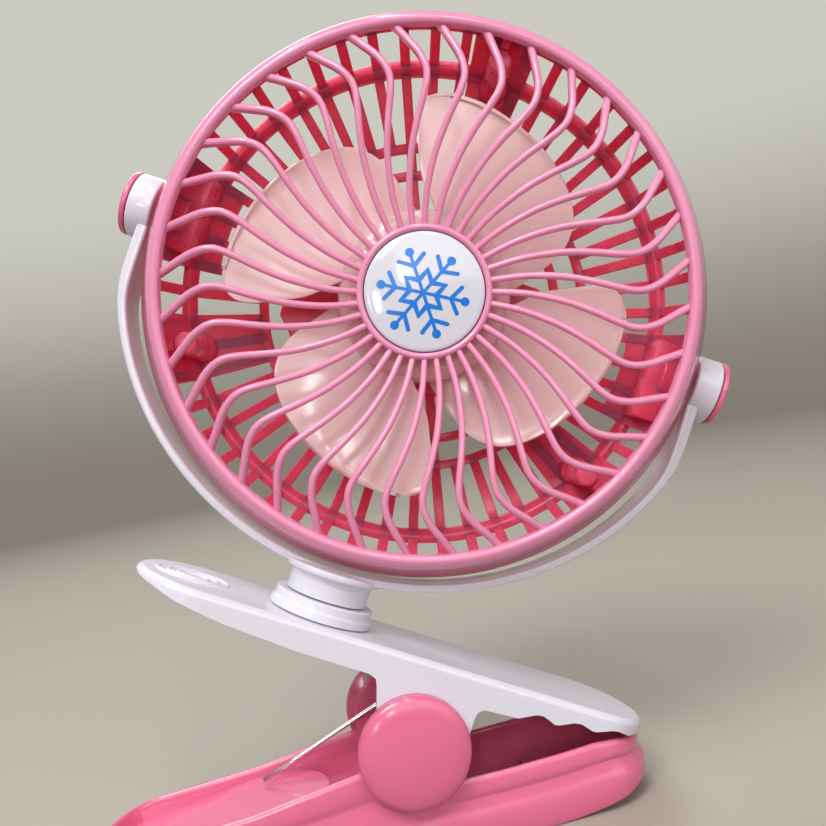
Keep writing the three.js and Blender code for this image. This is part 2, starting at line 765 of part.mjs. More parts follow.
// ---- Upper jaw ----
// Plan of the upper jaw: a round handle end and a blunt round nose
function upperPlan(inset) {
  const half = jawHalfWidth - inset;
  const nose = noseReach - inset;
  const corner = 15 - inset;
  const handle = -handleReach + inset;
  const shape = new THREE.Shape();
  shape.moveTo(nose - corner, -half);
  shape.absellipse(nose - corner, 0, corner, half, -Math.PI / 2, Math.PI / 2, false);
  shape.lineTo(handle + half, half);
  shape.absarc(handle + half, 0, half, Math.PI / 2, 3 * Math.PI / 2, false);
  return shape;
}

// Side view of the upper jaw, with the ear round the pin and the wavy gripping edge
function upperSide() {
  const skirt = -plateTop - skirtDepth;
  const teeth = -plateTop - jawDepth;
  const rearFoot = pinFromNeck - earRadius - 3.4;
  const frontFoot = pinFromNeck + earRadius + 5;
  const shape = new THREE.Shape();
  shape.moveTo(-handleReach, -plateTop);
  shape.lineTo(-handleReach, -plateTop - 4.5);
  shape.lineTo(-handleReach + 10, skirt);
  shape.lineTo(rearFoot - 3, skirt);
  shape.lineTo(rearFoot, skirt - 2.4);
  shape.absarc(pinFromNeck, -pinDrop, earRadius, Math.PI * 0.93, Math.PI * 2.04, false);
  shape.lineTo(frontFoot - 0.6, skirt - 3);
  shape.lineTo(frontFoot + 1.6, skirt);
  const firstTooth = frontFoot + 14;
  const lastTooth = noseReach - 6.5;
  const pitch = (lastTooth - firstTooth) / 3;
  shape.lineTo(firstTooth, teeth);
  for (let i = 1; i <= 3; i += 1) {
    shape.lineTo(firstTooth + (i - 0.5) * pitch, teeth + toothHeight);
    shape.lineTo(firstTooth + i * pitch, teeth);
  }
  shape.lineTo(noseReach, teeth + 3.6);
  shape.lineTo(noseReach, -plateTop);
  return shape;
}

function gripRidges() {
  const middle = -handleReach + gripPlace;
  return [1, 0.68, 0.36].map((share) => {
    const [r, half, top] = [gripRadius * share, 0.55, 0.7];
    const section = [[r - half, -0.4], [r + half, -0.4], [r + half * 0.5, top], [r - half * 0.5, top]];
    const ridge = turned('z', section, 18);
    return ridge.scale([1.3, 1, 1]).translate([middle, 0, -plateTop]);
  });
}

function toothBars() {
  const first = pinFromNeck + earRadius + 19;
  const last = noseReach - 6.5;
  const half = jawHalfWidth - jawWall / 2;
  return [0, 1, 2].map((i) => {
    const x = first + i * (last - first) / 3;
    return block(x - 1, x + 1, -half, half, -plateTop - jawDepth + 0.6, -plateUnder + 0.5);
  });
}

function upperJaw() {
  const side = acrossY(upperSide(), -jawHalfWidth, jawHalfWidth, 12);
  const body = side.intersect(upright(upperPlan(0), -pinDrop - 20, -plateTop + 1, 9));
  const room = upright(upperPlan(jawWall), -pinDrop - 21, -plateUnder, 9);
  const swivelBore = rod('z', spigotRadius + gap, -plateUnder - 1, -plateTop + 1, [0, 0], 24);
  const pinBore = rod('y', pinRadius + gap, -jawHalfWidth - 1, jawHalfWidth + 1, [pinFromNeck, -pinDrop], 16);
  return cutBy(joined(body.subtract(room), gripRidges(), toothBars()), swivelBore, pinBore);
}

// ---- Lower jaw ----
function lowerPlan(inset) {
  const half = jawHalfWidth - inset;
  const end = noseX - inset;
  const corner = 16 - inset;
  const shape = new THREE.Shape();
  shape.moveTo(end - corner, -half);
  shape.absellipse(end - corner, 0, corner, half, -Math.PI / 2, Math.PI / 2, false);
  shape.absellipse(-end + corner, 0, corner, half, Math.PI / 2, 3 * Math.PI / 2, false);
  return shape;
}

function lowerSide() {
  return [
    [-noseX + 5, 0],
    [noseX - 6, 0],
    [noseX - 1.2, rimNearNose * 0.45],
    [noseX, rimNearNose * 0.8],
    [noseX - 2.5, rimNearNose],
    [noseX - 52, rimMiddle],
    [pinPlace.x + 6, rimMiddle + 5],
    [pinPlace.x - 6, rimAtPin],
    [pinPlace.x - 14, rimAtPin - 0.6],
    [-noseX + 45, rimHandle],
    [-noseX + 3, rimHandleEnd],
    [-noseX, rimHandleEnd - 3],
    [-noseX + 1.2, 1.5],
  ];
}

function handleFloor() {
  const top = [
    [pinPlace.x - 20, rimAtPin - trayDepth - 1],
    [-noseX + 45, rimHandle - trayDepth],
    [-noseX + 3, rimHandleEnd - trayDepth],
  ];
  const under = top.map(([x, z]) => [x, z - 2]).reverse();
  const half = jawHalfWidth - jawWall / 2;
  const slab = acrossY([...top, ...under], -half, half);
  return slab.intersect(upright(lowerPlan(jawWall / 2), 0.5, 60, 9));
}

function pinLug(side) {
  const outer = jawHalfWidth - jawWall - 0.5;
  const [y0, y1] = [side * outer, side * (outer - lugThickness)].sort((a, b) => a - b);
  const shape = new THREE.Shape();
  const foot = lugRadius - 1.5;
  shape.moveTo(pinPlace.x + foot, 1);
  shape.absarc(pinPlace.x, pinPlace.z, lugRadius, -Math.PI * 0.08, Math.PI * 1.08, false);
  shape.lineTo(pinPlace.x - foot, 1);
  return acrossY(shape, y0, y1, 10);
}

// The low wall across the handle that the spring's leg presses on
function springRest() {
  const legEnd = springRoute()[0];
  const top = legEnd.z - wireRadius - gap;
  const half = jawHalfWidth - jawWall / 2;
  return block(legEnd.x - 0.8, legEnd.x + 1, -half, half, top - 7, top);
}

function lowerJaw() {
  const side = acrossY(lowerSide(), -jawHalfWidth, jawHalfWidth);
  const body = side.intersect(upright(lowerPlan(0), -1, 60, 9));
  const room = upright(lowerPlan(jawWall), jawWall, 60, 9);
  const crossRib = block(noseX - 34, noseX - 32.4, -jawHalfWidth + 1, jawHalfWidth - 1, 1, rimNearNose - 4);
  const tray = joined(body.subtract(room), handleFloor(), [-1, 1].map(pinLug), crossRib, springRest());
  const earRooms = [-1, 1].map((which) => {
    const [y0, y1] = [jawHalfWidth - jawWall - 0.45, jawHalfWidth + 1].map((y) => which * y);
    return rod('y', earRadius + 0.6, y0, y1, [pinPlace.x, pinPlace.z], 32);
  });
  const pinBore = rod('y', pinRadius + gap, -jawHalfWidth, jawHalfWidth, [pinPlace.x, pinPlace.z], 16);
  return cutBy(tray, earRooms, pinBore);
}

function clipPin() {
  const half = jawHalfWidth + pinOverhang;
  return rod('y', pinRadius, -half, half, [pinPlace.x, pinPlace.z], 16);
}

function earCap(side) {
  const face = jawHalfWidth + gap;
  const dome = turned('y', [
    [0, face],
    [earCapRadius, face],
    [earCapRadius, face + earCapRimHeight],
    [earCapRadius - 1.2, face + earCapRimHeight + 1.5],
    [earCapRadius * 0.6, face + earCapHeight - 0.5],
    [0, face + earCapHeight],
  ], 24);
  const bore = rod('y', pinRadius + gap, face - 1, jawHalfWidth + pinOverhang + gap, [0, 0], 16);
  const cap = dome.subtract(bore);
  return (side > 0 ? cap : cap.mirror([0, 1, 0])).translate([pinPlace.x, 0, pinPlace.z]);
}

// ---- Spring: a coil round the pin, its far leg on the lower handle, its near leg under the upper ----
function springRoute() {
  const half = springTurns * springPitch / 2;
  const lowerLeg = lowerLegTurn * degree;
  const upperLeg = upperLegTurn * degree - lean;
  const rise = pinDrop - plateUnder - wireRadius - gap - springRadius * Math.cos(upperLegTurn * degree);
  const upperLegLength = rise / Math.sin(upperLegTurn * degree);
  const start = lowerLeg - Math.PI / 2;
  const end = upperLeg + Math.PI / 2 - 2 * Math.PI * springTurns;
  const centre = new THREE.Vector3(pinPlace.x, 0, pinPlace.z);
  const onCoil = (angle, y) => new THREE.Vector3(
    centre.x + springRadius * Math.cos(angle), y, centre.z + springRadius * Math.sin(angle));
  const along = (angle) => new THREE.Vector3(Math.cos(angle), 0, Math.sin(angle));
  const points = [];
  points.push(onCoil(start, half).addScaledVector(along(lowerLeg), lowerLegLength));
  points.push(onCoil(start, half).addScaledVector(along(lowerLeg), 12));
  const steps = springTurns * 8;
  for (let i = 0; i <= steps; i += 1) {
    const share = i / steps;
    points.push(onCoil(start + (end - start) * share, half - 2 * half * share));
  }
  points.push(onCoil(end, -half).addScaledVector(along(upperLeg), 12));
  points.push(onCoil(end, -half).addScaledVector(along(upperLeg), upperLegLength));
  return points;
}

function springCoil() {
  const points = springRoute();
  const sides = 5;
  const rings = points.map((place, i) => {
    const before = points[Math.max(0, i - 1)];
    const after = points[Math.min(points.length - 1, i + 1)];
    const ahead = after.clone().sub(before).normalize();
    const across = new THREE.Vector3(0, 1, 0).addScaledVector(ahead, -ahead.y).normalize();
    const out = ahead.clone().cross(across);
    return [...Array(sides).keys()].map((j) => {
      const angle = 2 * Math.PI * j / sides;
      return place.clone().addScaledVector(across, wireRadius * Math.cos(angle))
        .addScaledVector(out, wireRadius * Math.sin(angle));
    });
  });
  return lofted(rings);
}

// Least gap between turns, on points that are at least half a turn apart along the wire
function springGap() {
  const curve = new THREE.CatmullRomCurve3(springRoute(), false, 'centripetal');
  const points = curve.getSpacedPoints(1200);
  const apart = Math.PI * springRadius * 1200 / curve.getLength();
  let least = Infinity;
  points.forEach((a, i) => {
    for (let j = Math.ceil(i + apart); j < points.length; j += 2) {
      least = Math.min(least, a.distanceTo(points[j]));
    }
  });
  return least - 2 * wireRadius;
}

// ---- Assembly ----
const fan = new THREE.Group();
const upperFrame = new THREE.Group();     // leans with the upper jaw, origin at the head's centre
upperFrame.position.set(headPlace.x, 0, headPlace.z);
upperFrame.rotation.y = lean;
const yokeFrame = new THREE.Group();      // turned on the neck
yokeFrame.rotation.z = -swivelTurn * degree;
const headFrame = new THREE.Group();      // tipped on the pivots
headFrame.rotation.x = headTilt * degree;
yokeFrame.add(headFrame);
upperFrame.add(yokeFrame);
fan.add(upperFrame);

fan.add(
  mesh('lower_jaw', lowerJaw(), clipPink),
  mesh('clip_pin', clipPin(), steel),
  mesh('ear_cap_near', earCap(-1), clipPink),
  mesh('ear_cap_far', earCap(1), clipPink),
  mesh('torsion_spring', springCoil(), steel),
);
upperFrame.add(
  mesh('upper_jaw', upperJaw(), whitePlastic),
  mesh('swivel_collar', swivelCollar(), whitePlastic),
);
yokeFrame.add(
  mesh('yoke', yoke(), whitePlastic),
  mesh('swivel_washer', swivelWasher(), steel),
  mesh('swivel_screw', swivelScrew(), steel),
);
headFrame.add(
  mesh('front_guard', frontGuard(), palePink),
  mesh('hub_badge', hubBadge(), badgeWhite),
  mesh('rear_guard', rearGuard(), deepPink),
  mesh('pod_cover', podCover(), deepPink),
  mesh('motor_body', motorBody(), steel),
  mesh('motor_shaft', motorShaft(), steel),
  mesh('impeller', impeller(), bladePlastic),
  mesh('wire_grommet', wireGrommet(), blackPlastic),
  mesh('battery_cell', batteryCell(), cellWrap),
  mesh('circuit_board', circuitBoard(), boardGreen),
  mesh('power_button', powerButton(), whitePlastic),
  mesh('usb_socket', usbSocket(), steel),
  mesh('light_pipe', lightPipe(), lightLens),
);
screwAngles().forEach((angle, i) => headFrame.add(mesh(`guard_screw_${i + 1}`, guardScrew(angle), steel)));
motorScrewPlaces().forEach((z, i) => headFrame.add(mesh(`motor_screw_${i + 1}`, motorScrew(z), steel)));
for (const [name, side] of [['left', -1], ['right', 1]]) {
  yokeFrame.add(mesh(`pivot_cap_${name}`, pivotCap(side), clipPink));
  headFrame.add(
    mesh(`pivot_screw_${name}`, pivotScrew(side), steel),
    mesh(`pivot_washer_${name}`, pivotWasher(side), blackPlastic),
    mesh(`cover_screw_${name}`, coverScrew(side), steel),
    mesh(`battery_contact_${name}`, batteryContact(side), steel),
  );
}

console.log(`head centre at x ${headPlace.x.toFixed(2)}, z ${headPlace.z.toFixed(2)}`);
console.log(`least gap between spring turns ${springGap().toFixed(2)} mm`);

export default fan;
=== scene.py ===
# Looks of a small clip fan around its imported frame: moulded plastics, snowflake badge, spring clip
import json
import math

import bmesh
import bpy
from mathutils import Matrix, Vector


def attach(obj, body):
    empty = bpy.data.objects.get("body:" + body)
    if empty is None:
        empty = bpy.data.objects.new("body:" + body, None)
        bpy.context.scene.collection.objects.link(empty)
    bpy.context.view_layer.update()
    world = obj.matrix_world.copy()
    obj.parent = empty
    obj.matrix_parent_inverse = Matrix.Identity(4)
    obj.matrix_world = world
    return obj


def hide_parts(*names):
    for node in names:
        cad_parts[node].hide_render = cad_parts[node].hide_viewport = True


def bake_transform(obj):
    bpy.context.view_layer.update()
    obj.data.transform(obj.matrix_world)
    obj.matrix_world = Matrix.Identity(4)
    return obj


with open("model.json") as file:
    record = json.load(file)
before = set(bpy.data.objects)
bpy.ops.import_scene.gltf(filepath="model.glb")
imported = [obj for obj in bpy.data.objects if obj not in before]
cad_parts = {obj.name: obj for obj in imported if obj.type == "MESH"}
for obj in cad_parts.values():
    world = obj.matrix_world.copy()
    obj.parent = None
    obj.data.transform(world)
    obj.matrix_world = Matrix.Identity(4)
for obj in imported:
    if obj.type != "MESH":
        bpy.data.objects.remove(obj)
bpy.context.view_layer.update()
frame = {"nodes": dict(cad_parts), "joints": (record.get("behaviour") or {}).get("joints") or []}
mm = 0.001
degree = math.pi / 180

# The piece frames: millimetres in a piece's own frame to metres in the row's
joints = {joint["name"]: joint for joint in frame["joints"]}


def pieceFrame(centre, across, back):
    x = Vector(across).normalized()
    y = Vector(back).normalized()
    turn = Matrix((x, y, x.cross(y))).transposed().to_4x4()
    return Matrix.Translation(Vector(centre)) @ turn @ Matrix.Scale(mm, 4)


headCentre = joints["yoke_swivel"]["pos_m"]
neckAxis = Vector(joints["yoke_swivel"]["axis"]).normalized()
tiltAxis = Vector(joints["head_tilt"]["axis"]).normalized()
fanAxis = Vector(joints["impeller_spin"]["axis"]).normalized()
baseFrame = Matrix.Scale(mm, 4)
upperFrame = pieceFrame(headCentre, Vector((0, 1, 0)).cross(neckAxis), (0, 1, 0))
yokeFrame = pieceFrame(headCentre, tiltAxis, neckAxis.cross(tiltAxis))
headFrame = pieceFrame(headCentre, tiltAxis, fanAxis)


# Making materials
def linearColour(hexText):
    channels = [int(hexText[i:i + 2], 16) / 255 for i in (1, 3, 5)]
    return [c / 12.92 if c <= 0.04045 else ((c + 0.055) / 1.055) ** 2.4 for c in channels] + [1]


def addNode(tree, kind, settings=(), links=()):
    node = tree.nodes.new(kind)
    for key, value in dict(settings).items():
        if isinstance(key, str) and hasattr(node, key):
            setattr(node, key, value)
        else:
            node.inputs[key].default_value = value
    for key, source in dict(links).items():
        tree.links.new(source, node.inputs[key])
    return node


def newMaterial(name, sockets):
    material = bpy.data.materials.new(name)
    material.use_nodes = True
    tree = material.node_tree
    shader = tree.nodes["Principled BSDF"]
    for socket, value in sockets.items():
        shader.inputs[socket].default_value = value
    return material, tree, shader


def perMetre(sizeMm):      # a texture's scale from the size of its grain
    return 1 / (sizeMm * mm)


def spread(tree, source, low, high):
    ranged = addNode(tree, "ShaderNodeMapRange", {"To Min": low, "To Max": high}, {"Value": source})
    return ranged.outputs["Result"]


def twoTone(tree, factor, first, second):
    mix = addNode(tree, "ShaderNodeMix", {"data_type": "RGBA", 6: linearColour(first), 7: linearColour(second)})
    tree.links.new(factor, mix.inputs[0])
    return mix.outputs[2]


# Injection-moulded plastic: a slow drift of tone and gloss, and the faint ripple of a polished mould
def mouldedPlastic(name, look):
    material, tree, shader = newMaterial(name, look["sockets"])
    place = addNode(tree, "ShaderNodeTexCoord").outputs["Object"]
    drift = addNode(tree, "ShaderNodeTexNoise", {"Scale": perMetre(look["driftMm"]), "Detail": 3}, {"Vector": place})
    tone = twoTone(tree, drift.outputs["Fac"], look["tone"], look["toneShift"])
    tree.links.new(tone, shader.inputs["Base Color"])
    handling = addNode(tree, "ShaderNodeTexNoise", {"Scale": perMetre(look["handlingMm"]), "Detail": 4},
                       {"Vector": place})
    gloss = spread(tree, handling.outputs["Fac"], look["glossFrom"], look["glossTo"])
    tree.links.new(gloss, shader.inputs["Roughness"])
    ripple = addNode(tree, "ShaderNodeTexNoise", {"Scale": perMetre(look["rippleMm"]), "Detail": 1},
                     {"Vector": place})
    peel = addNode(tree, "ShaderNodeTexNoise", {"Scale": perMetre(look["peelMm"]), "Detail": 2}, {"Vector": place})
    wave = addNode(tree, "ShaderNodeBump", {"Strength": 1, "Distance": look["rippleDeepMm"] * mm},
                   {"Height": ripple.outputs["Fac"]})
    skin = addNode(tree, "ShaderNodeBump", {"Strength": 1, "Distance": look["peelDeepMm"] * mm},
                   {"Height": peel.outputs["Fac"], "Normal": wave.outputs["Normal"]})
    tree.links.new(skin.outputs["Normal"], shader.inputs["Normal"])
    return material


glossyMould = {"driftMm": 34, "handlingMm": 9, "glossFrom": 0.12, "glossTo": 0.22, "rippleMm": 7,
               "rippleDeepMm": 0.035, "peelMm": 0.9, "peelDeepMm": 0.002}

# Light pink glossy ABS of the front guard: bright, thin highlights along every crest
palePinkAbs = mouldedPlastic("pale_pink_glossy_abs", {
    **glossyMould, "tone": "#E68DB2", "toneShift": "#E995B9",
    "sockets": {"IOR": 1.53, "Coat Weight": 0.25, "Coat Roughness": 0.06, "Subsurface Weight": 0.06,
                "Subsurface Radius": (0.9, 0.35, 0.4), "Subsurface Scale": 0.002}})


# The rim's flank is painted a deeper red pink than the crest: painted shade, standing in for the shade the flank lies
# in and the red light that comes through it
def rimPink():
    material = palePinkAbs.copy()
    material.name = "pale_pink_abs_with_painted_flank_shade"
    tree = material.node_tree
    shader = tree.nodes["Principled BSDF"]
    light = shader.inputs["Base Color"].links[0].from_socket
    place = addNode(tree, "ShaderNodeTexCoord").outputs["Object"]
    fromHead = addNode(tree, "ShaderNodeVectorMath", {"operation": "SUBTRACT", 1: headCentre}, {0: place}).outputs[0]
    depth = addNode(tree, "ShaderNodeVectorMath", {"operation": "DOT_PRODUCT", 1: fanAxis},
                    {0: fromHead}).outputs["Value"]
    # painted shade mask: 0 at the crest, rising to 1 towards the flank along the fan's axis
    flank = addNode(tree, "ShaderNodeMapRange", {"interpolation_type": "SMOOTHSTEP", "From Min": -20.5 * mm,
                    "From Max": -12 * mm}, {"Value": depth}).outputs["Result"]
    mix = addNode(tree, "ShaderNodeMix", {"data_type": "RGBA", 7: linearColour("#D24A73")}, {0: flank, 6: light})
    tree.links.new(mix.outputs[2], shader.inputs["Base Color"])
    return material


rimPinkWithPaintedShade = rimPink()

# The bowl is the same resin, more deeply dyed: light soaks through its thin wall and comes out a red pink
deepPinkAbs = mouldedPlastic("deep_pink_glossy_abs", {
    **glossyMould, "tone": "#F45378", "toneShift": "#F55F82", "glossFrom": 0.2, "glossTo": 0.34,
    "sockets": {"IOR": 1.53, "Subsurface Weight": 0.7, "Subsurface Radius": (1, 0.16, 0.22),
                "Subsurface Scale": 0.004}})

# Mid pink ABS of the clip and the caps: soft window highlights on the domes
clipPinkAbs = mouldedPlastic("clip_pink_glossy_abs", {
    **glossyMould, "tone": "#E2688F", "toneShift": "#E6739A", "glossFrom": 0.14, "glossTo": 0.24,
    "sockets": {"IOR": 1.53, "Coat Weight": 0.2, "Coat Roughness": 0.08, "Subsurface Weight": 0.06,
                "Subsurface Radius": (0.9, 0.3, 0.4), "Subsurface Scale": 0.002}})

# Cool white glossy ABS of the yoke and the upper jaw: a lavender cast in its shade
whiteAbs = mouldedPlastic("cool_white_glossy_abs", {
    **glossyMould, "tone": "#DDDCE7", "toneShift": "#E3E2EC", "glossFrom": 0.14, "glossTo": 0.24,
    "sockets": {"IOR": 1.53, "Coat Weight": 0.2, "Coat Roughness": 0.06, "Subsurface Weight": 0.08,
                "Subsurface Radius": (0.7, 0.65, 0.8), "Subsurface Scale": 0.0015}})

# Lacquered white disc: smoother than the mouldings round it
badgeLacquer = mouldedPlastic("white_lacquered_badge", {
    **glossyMould, "tone": "#D6D7E1", "toneShift": "#DADBE4", "glossFrom": 0.06, "glossTo": 0.12,
    "rippleDeepMm": 0.01, "sockets": {"IOR": 1.5, "Coat Weight": 0.5, "Coat Roughness": 0.03}})

# Pad-printed ink: flat blue with a slightly uneven film
printedInk = mouldedPlastic("blue_printed_ink", {
    **glossyMould, "tone": "#0B74D2", "toneShift": "#0A7CDC", "driftMm": 4, "glossFrom": 0.18, "glossTo": 0.3,
    "sockets": {"IOR": 1.5}})

# Translucent polypropylene of the blades: pale salmon, with the flow ripples of a thin moulding
bladePolymer = mouldedPlastic("salmon_translucent_polypropylene", {
    **glossyMould, "tone": "#ECC9C9", "toneShift": "#F1D5D4", "glossFrom": 0.12, "glossTo": 0.22,
    "rippleMm": 11, "rippleDeepMm": 0.12,
    "sockets": {"IOR": 1.49, "Subsurface Weight": 0.35, "Subsurface Radius": (1, 0.5, 0.45),
                "Subsurface Scale": 0.003, "Coat Weight": 0.2, "Coat Roughness": 0.06}})

# Moulded black rubber: matt, with a bloom that lifts its edges
blackRubber = mouldedPlastic("black_moulded_rubber", {
    **glossyMould, "tone": "#141416", "toneShift": "#1E1D1F", "glossFrom": 0.5, "glossTo": 0.68,
    "rippleDeepMm": 0.01, "peelDeepMm": 0.01, "sockets": {"IOR": 1.52}})

# Clear light guide: frosted end of a moulded rod
frostedGuide = mouldedPlastic("frosted_polycarbonate_guide", {
    **glossyMould, "tone": "#DCE8F0", "toneShift": "#E6F0F6", "glossFrom": 0.3, "glossTo": 0.42,
    "sockets": {"IOR": 1.58, "Transmission Weight": 0.4}})

# Heat-shrunk PVC over the cell: thin, tight and slightly wavy
shrinkSleeve = mouldedPlastic("blue_shrink_sleeve", {
    **glossyMould, "tone": "#2F6FB0", "toneShift": "#3A7CBD", "glossFrom": 0.25, "glossTo": 0.4,
    "rippleMm": 3, "rippleDeepMm": 0.05, "sockets": {"IOR": 1.54}})


# Metal with fine lines from drawing or turning, laid along one axis
def drawnMetal(name, look):
    material, tree, shader = newMaterial(name, {"Metallic": 1, **look["sockets"]})
    place = addNode(tree, "ShaderNodeTexCoord").outputs["Object"]
    along = addNode(tree, "ShaderNodeMapping", {"Scale": look["stretch"]}, {"Vector": place}).outputs["Vector"]
    lines = addNode(tree, "ShaderNodeTexNoise", {"Scale": perMetre(look["lineMm"]), "Detail": 5}, {"Vector": along})
    tone = twoTone(tree, lines.outputs["Fac"], look["tone"], look["toneShift"])
    tree.links.new(tone, shader.inputs["Base Color"])
    gloss = spread(tree, lines.outputs["Fac"], look["glossFrom"], look["glossTo"])
    tree.links.new(gloss, shader.inputs["Roughness"])
    relief = addNode(tree, "ShaderNodeBump", {"Strength": 1, "Distance": look["deepMm"] * mm},
                     {"Height": lines.outputs["Fac"]})
    tree.links.new(relief.outputs["Normal"], shader.inputs["Normal"])
    return material


# Bright drawn spring wire: near mirror, with faint draw lines
springWire = drawnMetal("bright_drawn_spring_wire", {
    "tone": "#D6D6D8", "toneShift": "#ECECEE", "lineMm": 0.5, "stretch": (1, 1, 1), "glossFrom": 0.12,
    "glossTo": 0.24, "deepMm": 0.002, "sockets": {}})
# Zinc-plated steel: greyer, with a mottled bloom
zincSteel = drawnMetal("zinc_plated_steel", {
    "tone": "#B4B6BA", "toneShift": "#D0D1D4", "lineMm": 1.2, "stretch": (1, 1, 1), "glossFrom": 0.24,
    "glossTo": 0.42, "deepMm": 0.003, "sockets": {}})
# Nickel-plated sheet steel of the motor can and the contacts: brushed along its length
nickelSteel = drawnMetal("brushed_nickel_steel", {
    "tone": "#BDBBB6", "toneShift": "#D8D6D0", "lineMm": 0.25, "stretch": (1, 0.08, 1), "glossFrom": 0.2,
    "glossTo": 0.36, "deepMm": 0.003, "sockets": {}})


# Green solder mask over copper tracks: the tracks stand as a slightly paler grid
def solderMask():
    material, tree, shader = newMaterial("green_solder_mask", {"IOR": 1.5})
    place = addNode(tree, "ShaderNodeTexCoord").outputs["Object"]
    tracks = addNode(tree, "ShaderNodeTexBrick", {"Scale": perMetre(6), "Mortar Size": 0.06,
                     "Color1": linearColour("#155C3C"), "Color2": linearColour("#18643F"),
                     "Mortar": linearColour("#2F8A58")}, {"Vector": place})
    tree.links.new(tracks.outputs["Color"], shader.inputs["Base Color"])
    tree.links.new(spread(tree, tracks.outputs["Fac"], 0.3, 0.45), shader.inputs["Roughness"])
    return material


boardMask = solderMask()
print("materials made")


# Making meshes, in millimetres in a piece's own frame
def arc(centre, radius, start, end, steps):      # points of an arc or an ellipse, angles in degrees
    rx, rz = radius if isinstance(radius, tuple) else (radius, radius)
    angles = [(start + (end - start) * i / steps) * degree for i in range(steps + 1)]
    return [(centre[0] + rx * math.cos(a), centre[1] + rz * math.sin(a)) for a in angles]


axisPlanes = {"X": lambda r, t: (t, 0, r), "Y": lambda r, t: (r, t, 0), "Z": lambda r, t: (r, 0, t)}
axisVectors = {"X": (1, 0, 0), "Y": (0, 1, 0), "Z": (0, 0, 1)}


def vertsIn(made):
    return [item for item in made if isinstance(item, bmesh.types.BMVert)]


def edgesAmong(made, verts):
    return [item for item in made if isinstance(item, bmesh.types.BMEdge) and verts.issuperset(item.verts)]


def shifted(bm, x, y, z):
    bmesh.ops.translate(bm, verts=bm.verts[:], vec=(x, y, z))
    return bm


def cleaned(bm):
    bmesh.ops.remove_doubles(bm, verts=bm.verts[:], dist=0.0005)
    loose = [edge for edge in bm.edges if not edge.link_faces]
    bmesh.ops.delete(bm, geom=loose, context="EDGES")
    bmesh.ops.recalc_face_normals(bm, faces=bm.faces[:])
    return bm


# A closed outline of (radius, place) points turned about an axis, its corners rounded first
def turned(outline, axis="Y", steps=96, rounding=0.0, segments=3, sweep=360.0, start=0.0):
    bm = bmesh.new()
    corners = [bm.verts.new(axisPlanes[axis](*point)) for point in outline]
    bm.faces.new(corners)
    outer = [vert for vert, point in zip(corners, outline) if point[0] > 0.001]
    if rounding:
        bmesh.ops.bevel(bm, geom=outer, offset=rounding, offset_type="OFFSET", segments=segments,
                        profile=0.5, affect="VERTICES", clamp_overlap=True, material=-1)
    vector = Vector(axisVectors[axis])
    whole = sweep == 360
    if whole:
        bmesh.ops.delete(bm, geom=bm.faces[:], context="FACES_ONLY")
    bmesh.ops.rotate(bm, verts=bm.verts[:], cent=(0, 0, 0), matrix=Matrix.Rotation(start * degree, 3, vector))
    bmesh.ops.spin(bm, geom=bm.verts[:] + bm.edges[:] + bm.faces[:], cent=(0, 0, 0), axis=vector,
                   angle=sweep * degree, steps=steps, use_merge=whole)
    return cleaned(bm)


def raised(corners, vector):      # a flat face pulled out into a solid
    bm = bmesh.new()
    face = bm.faces.new([bm.verts.new(corner) for corner in corners])
    made = bmesh.ops.extrude_face_region(bm, geom=[face])["geom"]
    bmesh.ops.translate(bm, verts=vertsIn(made), vec=vector)
    return cleaned(bm)


# An outline drawn in X and Z given thickness along Y, or drawn in X and Y and raised along Z
def plate(outline, low, high, axis="Y", rounding=0.0, segments=3):
    bm = raised([(a, low, b) if axis == "Y" else (a, b, low) for a, b in outline],
                Vector(axisVectors[axis]) * (high - low))
    if rounding:
        roundEdges(bm, [edge for edge in bm.edges if edge.calc_face_angle(0) > 0.6], rounding, segments)
    return bm


def roundEdges(bm, edges, radius, segments=3):
    bmesh.ops.bevel(bm, geom=edges, offset=radius, offset_type="OFFSET", segments=segments, profile=0.5,
                    affect="EDGES", clamp_overlap=True, material=-1)
    return bm


# A closed section carried along stations, each a matrix from the section's plane
def swept(section, stations):
    bm = bmesh.new()
    ring = [bm.verts.new(stations[0] @ Vector((a, b, 0))) for a, b in section]
    edges = [bm.edges.new((ring[i - 1], ring[i])) for i in range(len(ring))]
    bmesh.ops.contextual_create(bm, geom=edges)
    for before, after in zip(stations, stations[1:]):
        made = bmesh.ops.extrude_edge_only(bm, edges=edges)["geom"]
        fresh = set(vertsIn(made))
        bmesh.ops.transform(bm, matrix=after @ before.inverted(), verts=list(fresh))
        edges = edgesAmong(made, fresh)
    bmesh.ops.contextual_create(bm, geom=edges)
    return cleaned(bm)


def station(place, ahead, up, width=1.0, height=1.0):
    forward = Vector(ahead).normalized()
    side = Vector(up).cross(forward).normalized()
    rise = forward.cross(side)
    return Matrix.Translation(place) @ Matrix((side * width, rise * height, forward)).transposed().to_4x4()


def smoothRoute(points, perSpan):      # Catmull-Rom through the points
    line = [Vector(point) for point in points]
    line = [line[0] * 2 - line[1], *line, line[-1] * 2 - line[-2]]
    route = []
    for i in range(1, len(line) - 2):
        a, b, c, d = line[i - 1:i + 3]
        for j in range(perSpan):
            t = j / perSpan
            route.append(0.5 * (2 * b + (c - a) * t + (2 * a - 5 * b + 4 * c - d) * t ** 2
                                + (3 * b - a - 3 * c + d) * t ** 3))
    return route + [line[-2]]


def merged(parts):
    whole = bmesh.new()
    for part in parts:
        held = bpy.data.meshes.new("held")
        part.to_mesh(held)
        part.free()
        whole.from_mesh(held)
        bpy.data.meshes.remove(held)
    return whole


def copied(bm, matrix):
    twin = bm.copy()
    bmesh.ops.transform(twin, matrix=matrix, verts=twin.verts[:])
    if matrix.determinant() < 0:
        bmesh.ops.reverse_faces(twin, faces=twin.faces[:])
    return twin


mirrorX = Matrix.Scale(-1, 4, (1, 0, 0))
mirrorY = Matrix.Scale(-1, 4, (0, 1, 0))


